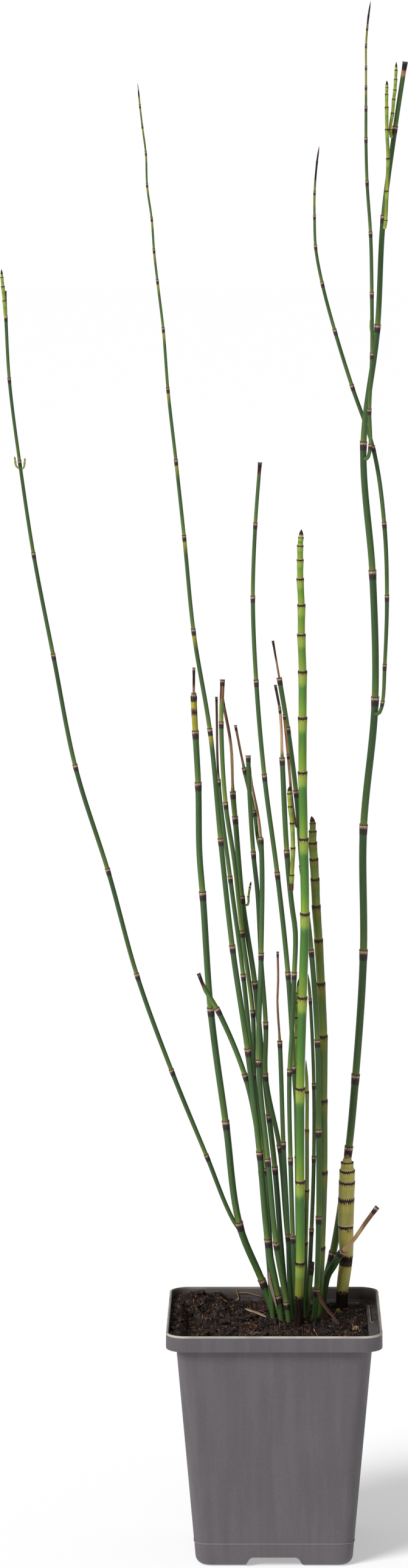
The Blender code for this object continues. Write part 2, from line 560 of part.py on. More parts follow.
def rib_profile(ribs, cutters):
    """A closed outline with one ridge for each rib, one millimetre in radius."""
    curve = bpy.data.curves.new("rib_profile", "CURVE")
    curve.dimensions = "2D"
    spline = curve.splines.new("POLY")
    spline.points.add(2 * ribs - 1)
    for i, spline_point in enumerate(spline.points):
        angle = math.pi * i / ribs
        radius = (1.0 if i % 2 == 0 else 1.0 - RIB_DEPTH) * MM
        spline_point.co = (radius * math.cos(angle), radius * math.sin(angle), 0.0, 1.0)
    spline.use_cyclic_u = True
    outline = bpy.data.objects.new("rib_profile", curve)
    cutters.objects.link(outline)
    return as_cutter(outline)


def tube(name, rings, smooth, collection, profile=None):
    """A curve whose rings have their own radii, filled at both ends."""
    curve = bpy.data.curves.new(name, "CURVE")
    curve.dimensions = "3D"
    curve.use_fill_caps = True
    if profile:
        curve.bevel_mode = "OBJECT"
        curve.bevel_object = profile
    else:
        curve.bevel_depth = MM
        curve.bevel_resolution = smooth
    spline = curve.splines.new("POLY")
    spline.points.add(len(rings) - 1)
    for spline_point, (place, radius) in zip(spline.points, rings):
        spline_point.co = (*(place * MM), 1.0)
        spline_point.radius = radius
    obj = bpy.data.objects.new(name, curve)
    collection.objects.link(obj)
    return obj


def to_mesh(obj, collection):
    """Turn a curve object into a welded mesh object of the same name."""
    bpy.context.view_layer.update()
    graph = bpy.context.evaluated_depsgraph_get()
    name = obj.name
    mesh = bpy.data.meshes.new_from_object(obj.evaluated_get(graph))
    bm = bmesh.new()
    bm.from_mesh(mesh)
    bmesh.ops.remove_doubles(bm, verts=bm.verts, dist=0.00001)
    bmesh.ops.recalc_face_normals(bm, faces=bm.faces)
    bm.to_mesh(mesh)
    bm.free()
    placed = obj.matrix_world.copy()
    bpy.data.objects.remove(obj, do_unlink=True)
    solid = bpy.data.objects.new(name, mesh)
    solid.matrix_world = placed
    collection.objects.link(solid)
    return solid


def build_stem(stem, parts, cutters):
    """One stem with its side branches grown into it."""
    profile = rib_profile(stem.ribs, cutters) if stem.ribs else None
    body = to_mesh(tube(stem.name, ring_list(stem), stem.smooth, parts, profile), parts)
    if stem.branches:
        branches = new_collection(f"{stem.name}_branches")
        for branch in stem.branches:
            to_mesh(tube(branch.name, ring_list(branch), branch.smooth, branches), branches)
        modifier = boolean(body, "UNION", branches, "branches")
        bpy.context.view_layer.objects.active = body
        bpy.ops.object.modifier_apply(modifier=modifier.name)
        for branch in list(branches.objects):
            bpy.data.objects.remove(branch, do_unlink=True)
        bpy.data.collections.remove(branches)
    body.data.materials.clear()
    body.data.materials.append(new_material(stem.name, stem.colour, 0.5))
    return body


def stem_hole(stem, holes):
    """The hole that a stem stands in: its foot's own line, a little wider and deeper."""
    foot = stem.route[0][0]
    above = stem.route[1][0]
    way = (above - foot).normalized()
    radius = HOLE_EASE * SHEATH_FLARE * stem.foot_radius + CLEARANCE
    start = foot - way * CLEARANCE
    end = foot + way * (HOLE_TOP - foot.z)
    tube(f"{stem.name}_hole", [(start, radius), (end, radius)], HOLE_SMOOTH, holes)
    return as_cutter(to_mesh(holes.objects[f"{stem.name}_hole"], holes))


# Loose dry bits: name, colour, radius and the two ends as (x, y, height above the soil)
LITTER = [
    ("straw_tan", DRY_TAN, 0.7, (-12.2, 23.3, 0.0), (-3.4, 10.4, 0.0)),
    ("twig_red", DRY_BROWN, 0.45, (-6.6, 20.3, 0.0), (-2.2, 23.6, 0.0)),
]

# Dry sheath strips that hang on the stems: name, colour, radius and route
STRIPS = [
    ("strip_on_slender", DRY_TAN, 0.42, [(-2.4, 5.0, 114.0), (-1.9, 4.6, 110.5), (1.0, 2.8, 99.5)]),
    ("strip_on_front", DRY_BROWN, 0.7, [(18.4, 3.4, 105.5), (21.5, -0.6, 100.5),
                                        (27.5, -7.5, 94.6)]),
]


def build_litter(parts):
    """Bits of straw that lie on the soil, with their middle points on its surface."""
    for name, colour, radius, start, end in LITTER:
        rings = []
        for step in range(LITTER_RINGS):
            spot = Vector(start).lerp(Vector(end), step / (LITTER_RINGS - 1))
            lift = radius + 2.0 * CLEARANCE
            rings.append((Vector((spot.x, spot.y, soil_height(spot.x, spot.y) + lift)), radius))
        straw = to_mesh(tube(name, rings, TWIG_SMOOTH, parts), parts)
        straw.data.materials.append(new_material(name, colour, 0.7))
    for name, colour, radius, route in STRIPS:
        rings = [(Vector(place), radius) for place in route]
        strip = to_mesh(tube(name, rings, TWIG_SMOOTH, parts), parts)
        strip.data.materials.append(new_material(name, colour, 0.7))


def main():
    clear_scene()
    parts = new_collection("horsetail_plant")
    cutters = new_collection("cutters")
    holes = new_collection("stem_holes")
    origin = bpy.data.objects.new("plant_origin", None)
    origin.location = (PLANT_SHIFT_X * MM, 0.0, 0.0)
    bpy.context.scene.collection.objects.link(origin)

    build_pot(parts, cutters)
    for stem in STEMS:
        build_stem(stem, parts, cutters)
        if stem.in_soil:
            stem_hole(stem, holes)
    build_soil(parts, cutters, holes)
    build_litter(parts)
    for obj in list(parts.objects) + list(cutters.objects) + list(holes.objects):
        obj.parent = origin
    bpy.context.view_layer.update()


main()
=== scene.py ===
"""Rough horsetail in a square nursery pot: the looks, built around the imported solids.

Every stem is a ribbed, jointed sleeve along the route of its solid. Sizes are millimetres
measured from the middle of the pot, as in the part's source; finished meshes are in metres in
the frame's own coordinates, with their objects at the origin.
"""

import logging
import math
import random
from dataclasses import dataclass, field
from enum import Enum
from functools import partial
from typing import Any, Callable

import bmesh
import bpy
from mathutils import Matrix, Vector, noise


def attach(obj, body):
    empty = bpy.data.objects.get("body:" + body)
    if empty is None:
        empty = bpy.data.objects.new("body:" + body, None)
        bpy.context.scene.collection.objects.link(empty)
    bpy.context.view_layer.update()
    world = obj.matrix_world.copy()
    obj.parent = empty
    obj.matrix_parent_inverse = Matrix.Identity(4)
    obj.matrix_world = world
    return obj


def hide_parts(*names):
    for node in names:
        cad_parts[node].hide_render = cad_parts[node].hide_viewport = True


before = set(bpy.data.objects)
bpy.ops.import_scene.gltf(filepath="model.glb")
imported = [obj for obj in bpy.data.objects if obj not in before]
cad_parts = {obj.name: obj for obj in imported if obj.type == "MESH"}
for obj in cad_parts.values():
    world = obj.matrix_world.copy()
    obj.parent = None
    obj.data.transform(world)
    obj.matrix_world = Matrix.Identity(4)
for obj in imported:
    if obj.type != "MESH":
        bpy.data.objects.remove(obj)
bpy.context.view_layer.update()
LOG = logging.getLogger("horsetail")

MM = 0.001
PLANT_SHIFT_X = 30.0
BODY = "root"
SMOOTH_ANGLE = math.radians(38.0)
FULL_TURN = 2.0 * math.pi

# Settings that many nodes share
SMOOTH = {"interpolation_type": "SMOOTHSTEP"}
COLOURS = {"data_type": "RGBA"}
PLUS, MINUS, TIMES, OVER = ({"operation": name} for name in ("ADD", "SUBTRACT", "MULTIPLY", "DIVIDE"))


class Kind(Enum):
    """What a route point is."""

    JOINT = "a sheath around the stem"
    BEND = "a plain point"
    CUT = "a stem broken off at its top sheath"
    TIP = "a pointed growing tip"


# Short names for the stems' routes
J, B, C, T = Kind.JOINT, Kind.BEND, Kind.CUT, Kind.TIP


def linear(colour: str) -> tuple[float, ...]:
    """Linear RGBA of an sRGB hex colour.

    Args:
        colour: six hex digits after a hash.

    Returns:
        Red, green, blue and a full alpha.
    """
    parts = [int(colour[i:i + 2], 16) / 255.0 for i in (1, 3, 5)]
    return (*(p / 12.92 if p <= 0.04045 else ((p + 0.055) / 1.055) ** 2.4 for p in parts), 1.0)


def new_material(name: str) -> bpy.types.Material:
    """Start a material with no nodes in it.

    Args:
        name: the real material's name.

    Returns:
        The material.
    """
    material = bpy.data.materials.new(name)
    material.use_nodes = True
    material.node_tree.nodes.clear()
    return material


def add_node(owner: bpy.types.Material | bpy.types.World, kind: str, inputs: tuple | dict = (),
             output: int | str = 0, stops: tuple = (), **settings: Any) -> bpy.types.NodeSocket | None:
    """Add a shader node with its settings and links.

    Args:
        owner: the material or world that gets it.
        kind: the node's type, without the word that all shader types start with.
        inputs: values, or the sockets that feed it, in the order of its own sockets or by name or number.
        output: name or number of the output that is wanted from it.
        stops: places and hex colours of a ramp.
        settings: the node's own properties.

    Returns:
        The wanted output, or none where the node has no outputs.
    """
    node = owner.node_tree.nodes.new("ShaderNode" + kind)
    for name, value in settings.items():
        setattr(node, name, value)
    for socket, value in (inputs.items() if isinstance(inputs, dict) else enumerate(inputs)):
        if isinstance(value, bpy.types.NodeSocket):
            owner.node_tree.links.new(value, node.inputs[socket])
        else:
            node.inputs[socket].default_value = value
    if stops:
        ramp = node.color_ramp.elements
        while len(ramp) < len(stops):
            ramp.new(1.0)
        for element, (place, colour) in zip(ramp, stops):
            element.position = place
        for element, (place, colour) in zip(ramp, stops):
            element.color = linear(colour)
    return node.outputs[output] if node.outputs else None


def into_frame(bm: bmesh.types.BMesh) -> None:
    """Take a whole shape from millimetres round the pot's middle to metres in the frame."""
    bmesh.ops.translate(bm, verts=bm.verts, vec=Vector((PLANT_SHIFT_X, 0.0, 0.0)))
    bmesh.ops.scale(bm, verts=bm.verts, vec=Vector((MM, MM, MM)))


def new_object(bm: bmesh.types.BMesh, name: str) -> bpy.types.Object:
    """Put a finished bmesh in the scene, at the origin.

    Args:
        bm: the shape, which is freed.
        name: the object's and the mesh's name.

    Returns:
        The object.
    """
    mesh = bpy.data.meshes.new(name)
    bm.to_mesh(mesh)
    bm.free()
    made = bpy.data.objects.new(name, mesh)
    bpy.context.scene.collection.objects.link(made)
    return made


def set_edges(bm: bmesh.types.BMesh, smooth_angle: float) -> None:
    """Smooth every face, and keep the sharp edges crisp.

    Args:
        bm: the shape.
        smooth_angle: edges sharper than this stay crisp.
    """
    for face in bm.faces:
        face.smooth = True
    for edge in bm.edges:
        edge.smooth = len(edge.link_faces) == 2 and edge.calc_face_angle(0.0) < smooth_angle


def finished_piece(bm: bmesh.types.BMesh, name: str, material: bpy.types.Material,
                   stands_for: tuple[str, ...] = (), smooth_angle: float = SMOOTH_ANGLE
                   ) -> bpy.types.Object:
    """Turn a bmesh into a piece that rides on the frame.

    Args:
        bm: the shape in metres, in the frame's coordinates.
        name: the piece's name.
        material: what it is made of.
        stands_for: the solids that it replaces.
        smooth_angle: edges sharper than this stay crisp.

    Returns:
        The object.
    """
    set_edges(bm, smooth_angle)
    piece = new_object(bm, name)
    piece.data.materials.append(material)
    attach(piece, BODY)
    if stands_for:
        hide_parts(*stands_for)
    LOG.info("%s: %d faces", name, len(piece.data.polygons))
    return piece


def grow_sleeve(bm: bmesh.types.BMesh, columns: int, rows: int, place: Callable[[int, int], Vector],
                paint: Callable[[int, int], dict[str, Any]] | None = None) -> None:
    """Add a closed sleeve: a grid whose columns run round and whose rows run along, its ends filled.

    Args:
        bm: the bmesh that gets it, in metres in the frame's coordinates.
        columns: points in each ring.
        rows: number of rings.
        place: where a column and row lie, in millimetres from the middle of the pot.
        paint: numbers or vectors to keep on each vertex, by attribute name.
    """
    layers: dict[str, Any] = {}
    for name, value in (paint(0, 0) if paint else {}).items():
        kinds = bm.verts.layers.float_vector if isinstance(value, Vector) else bm.verts.layers.float
        layers[name] = kinds.get(name) or kinds.new(name)
    made = bmesh.ops.create_grid(bm, x_segments=columns, y_segments=rows - 1, size=0.5)["verts"]
    seam = []
    for vert in made:
        column = round((vert.co.x + 0.5) * columns)
        row = round((vert.co.y + 0.5) * (rows - 1))
        vert.co = (place(column % columns, row) + Vector((PLANT_SHIFT_X, 0.0, 0.0))) * MM
        for name, layer in layers.items():
            vert[layer] = paint(column % columns, row)[name]
        if column in (0, columns):
            seam.append(vert)
    kept = set(made) - set(seam)
    bmesh.ops.remove_doubles(bm, verts=seam, dist=1e-8)
    kept |= {v for v in seam if v.is_valid}
    open_edges = [e for e in {e for v in kept for e in v.link_edges} if e.is_boundary]
    bmesh.ops.holes_fill(bm, edges=open_edges, sides=0)


def sleeve(columns: int, rows: int, place: Callable[[int, int], Vector],
           paint: Callable[[int, int], dict[str, Any]] | None = None) -> bmesh.types.BMesh:
    """A bmesh that holds one closed sleeve, facing outward.

    Args:
        columns: points in each ring.
        rows: number of rings.
        place: where a column and row lie, in millimetres from the middle of the pot.
        paint: numbers or vectors to keep on each vertex, by attribute name.

    Returns:
        The bmesh, in metres in the frame's coordinates.
    """
    bm = bmesh.new()
    grow_sleeve(bm, columns, rows, place, paint)
    bmesh.ops.recalc_face_normals(bm, faces=bm.faces)
    return bm


# Finishes

SHEATH_RAMP_START = 0.3
SHEATH_RAMP_REACH = 1.8
DRY_TONES = ((0.0, "#cdb084"), (0.25, "#b18a64"), (0.5, "#84583c"), (0.75, "#4b3024"), (1.0, "#1f1512"))


@dataclass(frozen=True)
class StemFinish:
    """Skin of a horsetail stem: living plant tissue with silica ridges, so it has a soft gloss.

    sheath holds colours by the share of the sheath's length below its mouth, with the teeth
    below zero. internode holds colours by the millimetres above the joint below it.
    """

    name: str
    sheath: tuple
    internode: tuple
    internode_reach: float = 60.0
    jag: float = 0.05
    sheath_end: float = 1.12
    sheath_fade: float = 0.2
    turned_yellow: str = "#a79d14"
    root_sheath: tuple = ("#120c0c", "#2f201b")
    dead_sheath: str = "#241a18"
    tick: str = "#2a1d18"
    tick_from: float = 0.05
    tick_to: float = 0.42
    tick_strength: float = 0.6
    streak: float = 0.2
    roughness: float = 0.42
    # Cells per millimetre: streaks a third of a millimetre wide and some 12 long, blotches 3 wide and
    # 17 long, and flecks of half a millimetre
    streaks_per_mm: tuple = (3.2, 3.2, 0.085)
    blotches_per_mm: tuple = (0.35, 0.35, 0.06)
    flecks_per_mm: tuple = (2.2, 2.2, 1.1)

    def material(self) -> bpy.types.Material:
        """The skin's material, made once.

        Returns:
            The material.
        """
        if self.name in bpy.data.materials:
            return bpy.data.materials[self.name]
        m = new_material(self.name)
        add = partial(add_node, m)
        # What the mesh keeps: places on the straightened stem in millimetres, and numbers on each ring
        straight = add("Attribute", output="Vector", attribute_name="straight")
        ridge, rise, below, root, dried, own_tone, yellow, lightness = (
            add("Attribute", output="Fac", attribute_name=name)
            for name in ("ridge", "rise", "sheath", "root", "dry", "tone", "yellow", "lightness"))
        streaks, blotches, flecks = (
            add("TexNoise", {"Vector": add("Mapping", {0: straight, 3: cells}), "Scale": 1.0,
                             "Detail": detail, "Roughness": rough})
            for cells, detail, rough in ((self.streaks_per_mm, 3.0, 0.6), (self.blotches_per_mm, 2.0, 0.5),
                                         (self.flecks_per_mm, 2.0, 0.5)))

        # Internodes: by the height above the joint, with pale streaks
        height = add("Math", (rise, self.internode_reach), **OVER)
        drift = add("Math", (add("MapRange", (blotches, 0.3, 0.7, -0.05, 0.05), **SMOOTH),
                             add("MapRange", (rise, 2.0, 9.0, 0.0, 1.0), **SMOOTH)), **TIMES)
        height = add("Math", (height, drift), use_clamp=True, **PLUS)
        green = add("ValToRGB", (height,), stops=tuple(
            (millimetres / self.internode_reach, colour) for millimetres, colour in self.internode))
        light = add("MapRange", (streaks, 0.25, 0.75, 1.0 - self.streak, 1.0 + self.streak), **SMOOTH)
        # Painted shade in the furrows between the ribs, and a little painted light on the ridges
        light = add("Math", (light, add("MapRange", (ridge, 0.0, 1.0, -0.05, 0.04), **SMOOTH)), **PLUS)
        light = add("Math", (light, add("MapRange", (blotches, 0.3, 0.7, -0.08, 0.08), **SMOOTH)), **PLUS)
        light = add("Math", (light, add("MapRange", (flecks, 0.6, 0.75, 0.0, 0.22), **SMOOTH)), **MINUS)
        # The stem's lightness: its own tone, and on the thinner, upper stems painted shade
        light = add("Math", (light, lightness), **TIMES)
        green = add("Mix", {0: yellow, 6: green, 7: linear(self.turned_yellow)}, 2, **COLOURS)
        green = add("HueSaturation", {"Saturation": 0.92, "Value": light, "Color": green})

        # Dried lengths: straw to dark brown, by the tone kept on the mesh
        tone = add("MapRange", (streaks, 0.3, 0.7, -0.25, 0.38), **SMOOTH)
        tone = add("Math", (own_tone, tone), use_clamp=True, **PLUS)
        dry = add("ValToRGB", (tone,), stops=DRY_TONES)
        edge = add("Math", (dried, add("MapRange", (streaks, 0.3, 0.7, -0.25, 0.25), **SMOOTH)), **PLUS)
        dryness = add("MapRange", (edge, 0.4, 0.6, 0.0, 1.0), **SMOOTH)
        skin = add("Mix", {0: dryness, 6: green, 7: dry}, 2, **COLOURS)

        # Sheaths: bands with a jagged border that follows the ridges, and dark ticks
        ragged = add("MapRange", (ridge, 0.0, 1.0, -self.jag, self.jag), **SMOOTH)
        ragged = add("Math", (below, ragged), **PLUS)
        ragged = add("Math", (ragged, add("MapRange", (flecks, 0.3, 0.7, -0.09, 0.09), **SMOOTH)), **PLUS)
        within = add("MapRange", (below, 0.02, 0.12, 0.0, 1.0), **SMOOTH)
        band = add("Math", (add("Math", (ragged, within), **TIMES),
                            add("Math", (below, add("Math", (1.0, within), **MINUS)), **TIMES)), **PLUS)
        band = add("Math", (band, SHEATH_RAMP_START), **PLUS)
        band = add("Math", (band, SHEATH_RAMP_REACH), use_clamp=True, **OVER)
        wrap = add("ValToRGB", (band,), stops=tuple(
            ((share + SHEATH_RAMP_START) / SHEATH_RAMP_REACH, colour) for share, colour in self.sheath))
        groove = add("Math", (ridge, add("MapRange", (flecks, 0.3, 0.7, -0.3, 0.3), **SMOOTH)), **PLUS)
        groove = add("MapRange", (groove, 0.45, 0.15, 0.0, 1.0), **SMOOTH)
        start = add("MapRange", (below, self.tick_from, self.tick_from + 0.05, 0.0, 1.0), **SMOOTH)
        end = add("MapRange", (below, self.tick_to, self.tick_to - 0.1, 0.0, self.tick_strength), **SMOOTH)
        ticks = add("Math", (add("Math", (groove, start), **TIMES), end), **TIMES)
        wrap = add("Mix", {0: ticks, 6: wrap, 7: linear(self.tick)}, 2, **COLOURS)
        wrap = add("HueSaturation", {"Value": add("MapRange", (streaks, 0.25, 0.75, 0.82, 1.18), **SMOOTH),
                                     "Color": wrap})
        dead = add("MapRange", (own_tone, 0.55, 0.95, 0.0, 0.92), **SMOOTH)
        wrap = add("Mix", {0: dead, 6: wrap, 7: linear(self.dead_sheath)}, 2, **COLOURS)
        covered = add("MapRange", (ragged, self.sheath_end, self.sheath_end - self.sheath_fade, 0.0, 1.0),
                      **SMOOTH)
        skin = add("Mix", {0: covered, 6: skin, 7: wrap}, 2, **COLOURS)

        # Dark root sheath, with a ragged top edge a millimetre or two deep
        rooted = add("Math", (root, add("MapRange", (flecks, 0.3, 0.7, -1.0, 1.0), **SMOOTH)), **PLUS)
        rooted = add("MapRange", (rooted, 0.0, 1.2, 0.0, 1.0), **SMOOTH)
        dark, light_brown = (linear(colour) for colour in self.root_sheath)
        bark = add("Mix", {0: add("MapRange", (streaks, 0.35, 0.65, 0.0, 1.0), **SMOOTH), 6: dark,
                           7: light_brown}, 2, **COLOURS)
        skin = add("Mix", {0: rooted, 6: skin, 7: bark}, 2, **COLOURS)

        # Dried lengths and sheaths are duller than the green skin
        rough = add("MapRange", (streaks, 0.3, 0.7, self.roughness - 0.05, self.roughness + 0.08), **SMOOTH)
        rough = add("Math", (rough, add("Math", (dryness, 0.25), **TIMES)), **PLUS)
        rough = add("Math", (rough, add("Math", (covered, 0.12), **TIMES)), use_clamp=True, **PLUS)
        bump = add("Bump", {"Strength": 0.25, "Distance": 0.08 * MM, "Height": streaks})
        surface = add("BsdfPrincipled", {"Base Color": skin, "Roughness": rough, "Normal": bump,
                                         "IOR": 1.45, "Specular IOR Level": 0.3})
        add("OutputMaterial", (surface,))
        return m


# Old skin: two-banded sheaths, dark below and ash above, whose papery teeth have worn to a fringe
OLD_SHEATH = ((-0.3, "#bda98d"), (-0.08, "#9c8268"), (-0.02, "#33231f"), (0.04, "#4a3730"),
              (0.075, "#c4a488"), (0.24, "#b39379"), (0.30, "#4a3a35"), (0.36, "#33292a"), (0.8, "#302828"),
              (1.5, "#2b2727"))
# Young skin: a thin dark ring whose teeth stand up, over a pale sheath that ends in a darker edge
YOUNG_SHEATH = ((-0.4, "#3a231b"), (-0.06, "#35201a"), (0.07, "#2f1b15"), (0.115, "#93a040"),
                (0.7, "#87a040"), (1.0, "#5a8838"), (1.3, "#3f7436"), (1.5, "#3f7436"))
OLIVE_SHEATH = ((-0.4, "#4a2f22"), (-0.06, "#341d18"), (0.11, "#3a221c"), (0.16, "#75762f"),
                (0.7, "#6a712b"), (1.0, "#5c6d2a"), (1.3, "#526a28"), (1.5, "#526a28"))
CREAM_SHEATH = ((-0.5, "#5a3f30"), (-0.05, "#38201a"), (0.22, "#3d241c"), (0.28, "#cfc07c"),
                (0.36, "#b7a656"), (0.7, "#c2b55c"), (1.2, "#b3ae52"), (1.5, "#b3ae52"))


class Skin(Enum):
    """The skins of the plant's stems."""

    OLD = StemFinish(
        "horsetail_stem_old", OLD_SHEATH,
        ((0.0, "#6d7e31"), (2.5, "#55712e"), (9.0, "#46662e"), (25.0, "#3d5d2d"), (60.0, "#375530")),
        sheath_end=0.9, sheath_fade=0.1)
    FRESH = StemFinish(
        "horsetail_stem_fresh", OLD_SHEATH,
        ((0.0, "#8b9332"), (3.0, "#718631"), (12.0, "#587630"), (30.0, "#4c6b30"), (60.0, "#43632e")),
        sheath_end=0.9, sheath_fade=0.1)
    BRIGHT = StemFinish(
        "horsetail_shoot_bright", YOUNG_SHEATH,
        ((0.0, "#d9d8ac"), (0.5, "#c5ba7e"), (0.8, "#86a01a"), (5.0, "#6f9618"), (12.0, "#4f841e"),
         (24.0, "#427627"), (60.0, "#3d6c30")),
        sheath_end=1.2, sheath_fade=0.5, tick_strength=0.35, tick_from=0.12, tick_to=0.35,
        roughness=0.34, streak=0.12)
    YELLOW = StemFinish(
        "horsetail_shoot_yellow_green", YOUNG_SHEATH,
        ((0.0, "#c4c47c"), (0.5, "#989f25"), (4.0, "#7e8f1e"), (12.0, "#678426"), (60.0, "#5a7a2a")),
        sheath_end=1.2, sheath_fade=0.5, tick_strength=0.4, tick_from=0.12, tick_to=0.35, roughness=0.36)
    OLIVE = StemFinish(
        "horsetail_shoot_olive", OLIVE_SHEATH,
        ((0.0, "#a59a5c"), (0.6, "#7f8829"), (4.0, "#677c27"), (12.0, "#58712a"), (60.0, "#4b672b")),
        jag=0.07, sheath_end=1.2, sheath_fade=0.5, tick_strength=0.4, tick_from=0.15, tick_to=0.4,
        roughness=0.4)
    CREAM = StemFinish(
        "horsetail_shoot_cream", CREAM_SHEATH,
        ((0.0, "#d8cd98"), (0.4, "#c4b870"), (0.8, "#b6aa56"), (5.0, "#a8a54a"), (12.0, "#aea84e"),
         (60.0, "#b9ac57")),
        jag=0.08, sheath_end=1.25, sheath_fade=0.5, tick_from=0.2, tick_to=0.45, roughness=0.45,
        streak=0.10)


@dataclass(frozen=True)
class PotFinish:
    """Recycled polypropylene, injection moulded: matt dark grey with faint flow streaks."""

    name: str = "polypropylene_moulded_grey"
    grey: str = "#575256"
    streak_grey: str = "#5d585c"
    line_highlight: str = "#a79f96"
    lip: str = "#c2bbb2"
    soil_stain: str = "#2a211c"
    dust: str = "#5a5049"
    # Cells per metre: flow streaks 4 mm wide and 110 mm long, grain of 0.7 mm and dirty patches of 14 mm
    flow_cells: tuple = (260.0, 260.0, 9.0)
    grain_cells: float = 1400.0
    patch_cells: float = 70.0

    def material(self, rim_top: float, ledge: float, line: float) -> bpy.types.Material:
        """The pot's material.

        Args:
            rim_top: height of the rim's top edge in metres.
            ledge: height of the step under the rim band in metres.
            line: height of the mould's parting line in metres.

        Returns:
            The material.
        """
        m = new_material(self.name)
        add = partial(add_node, m)
        place = add("TexCoord", output="Object")
        up = add("SeparateXYZ", (place,), "Z")
        flow = add("TexNoise", {"Vector": add("Mapping", {0: place, 3: self.flow_cells}), "Scale": 1.0,
                                "Detail": 3.0})
        grain = add("TexNoise", {"Vector": place, "Scale": self.grain_cells, "Detail": 2.0})
        patch = add("TexNoise", {"Vector": place, "Scale": self.patch_cells, "Detail": 4.0})

        flow = add("MapRange", (flow, 0.35, 0.65, 0.0, 1.0), **SMOOTH)
        colour = add("Mix", {0: flow, 6: linear(self.grey), 7: linear(self.streak_grey)}, 2, **COLOURS)
        colour = add("HueSaturation", {"Value": add("MapRange", (grain, 0.3, 0.7, 0.94, 1.06), **SMOOTH),
                                       "Color": colour})
        # Painted highlight where the mould's parting line catches the light
        off_line = add("Math", (add("Math", (up, line), **MINUS),), operation="ABSOLUTE")
        shine = add("MapRange", (off_line, 0.22 * MM, 0.08 * MM, 0.0, 0.5), **SMOOTH)
        colour = add("Mix", {0: shine, 6: colour, 7: linear(self.line_highlight)}, 2, **COLOURS)
        # The lip is rubbed pale, most where the patches are strong
        top = add("MapRange", (up, rim_top - 1.1 * MM, rim_top - 0.4 * MM, 0.0, 1.0), **SMOOTH)
        rubbed = add("Math", (top, add("MapRange", (patch, 0.3, 0.6, 0.5, 0.95), **SMOOTH)), **TIMES)
        colour = add("Mix", {0: rubbed, 6: colour, 7: linear(self.lip)}, 2, **COLOURS)
        # Dust and soil smears on the inside only, thickest near the soil
        inside = add("Attribute", output="Fac", attribute_name="inside")
        dusty = add("Math", (inside, add("MapRange", (patch, 0.3, 0.6, 0.25, 0.8), **SMOOTH)), **TIMES)
        colour = add("Mix", {0: dusty, 6: colour, 7: linear(self.dust)}, 2, **COLOURS)
        low = add("MapRange", (up, rim_top - 1.0 * MM, ledge + 2.0 * MM, 0.0, 1.0), **SMOOTH)
        smear = add("Math", (add("Math", (inside, low), **TIMES),
                             add("MapRange", (patch, 0.4, 0.58, 0.1, 0.9), **SMOOTH)), **TIMES)
        colour = add("Mix", {0: smear, 6: colour, 7: linear(self.soil_stain)}, 2, **COLOURS)
        bump = add("Bump", {"Strength": 0.18, "Distance": 0.05 * MM, "Height": grain})
        surface = add("BsdfPrincipled", {
            "Base Color": colour, "Roughness": add("MapRange", (patch, 0.3, 0.7, 0.5, 0.62), **SMOOTH),
            "Normal": bump, "IOR": 1.49})
        add("OutputMaterial", (surface,))
        return m


@dataclass(frozen=True)
class EarthFinish:
    """Peat potting soil: dark moist fibre and crumbs with pale specks, rough all over."""

    name: str = "peat_soil"
    dark: str = "#090605"
    brown: str = "#28170f"
    light: str = "#6e4e39"
    speck: str = "#b5a894"
    # Cells per metre: crumbs some 3 mm across, and specks a third of a millimetre across
    coarse_cells: float = 350.0
    fine_cells: float = 1600.0

    def material(self) -> bpy.types.Material:
        """The soil's material, made once.

        Returns:
            The material.
        """
        if self.name in bpy.data.materials:
            return bpy.data.materials[self.name]
        m = new_material(self.name)
        add = partial(add_node, m)
        place = add("TexCoord", output="Object")
        coarse = add("TexNoise", {"Vector": place, "Scale": self.coarse_cells, "Detail": 6.0,
                                  "Roughness": 0.7})
        fine = add("TexNoise", {"Vector": place, "Scale": self.fine_cells, "Detail": 3.0})
        colour = add("ValToRGB", (coarse,), stops=(
            (0.40, self.dark), (0.55, self.brown), (0.72, self.light)))
        shade = add("Attribute", output="Fac", attribute_name="shade")
        colour = add("HueSaturation", {"Value": add("Math", (shade, 1.0), **PLUS), "Color": colour})
        speck = add("MapRange", (fine, 0.68, 0.72, 0.0, 0.8))
        colour = add("Mix", {0: speck, 6: colour, 7: linear(self.speck)}, 2, **COLOURS)
        bump = add("Bump", {"Strength": 0.9, "Distance": 0.5 * MM, "Height": coarse})
        surface = add("BsdfPrincipled", {
            "Base Color": colour, "Normal": bump, "Specular IOR Level": 0.35,
            "Roughness": add("MapRange", (fine, 0.35, 0.65, 0.3, 0.95))})
        add("OutputMaterial", (surface,))
        return m


@dataclass(frozen=True)
class StrawFinish:
    """Dead horsetail straw: dry split fibre with long dark and pale streaks, matt."""

    name: str
    pale: str
    dark: str
    grain_mm: float = 0.35

    def material(self) -> bpy.types.Material:
        """The straw's material, made once.

        Returns:
            The material.
        """
        if self.name in bpy.data.materials:
            return bpy.data.materials[self.name]
        m = new_material(self.name)
        add = partial(add_node, m)
        straight = add("Attribute", output="Vector", attribute_name="straight")
        across = 1.0 / self.grain_mm
        place = add("Mapping", {0: straight, 3: (across, across, 0.15)})
        grain = add("TexNoise", {"Vector": place, "Scale": 1.0, "Detail": 3.0})
        colour = add("ValToRGB", (grain,), stops=((0.35, self.dark), (0.6, self.pale)))
        bump = add("Bump", {"Strength": 0.5, "Distance": 0.1 * MM, "Height": grain})
        surface = add("BsdfPrincipled", {"Base Color": colour, "Roughness": 0.75, "Normal": bump})
        add("OutputMaterial", (surface,))
        return m


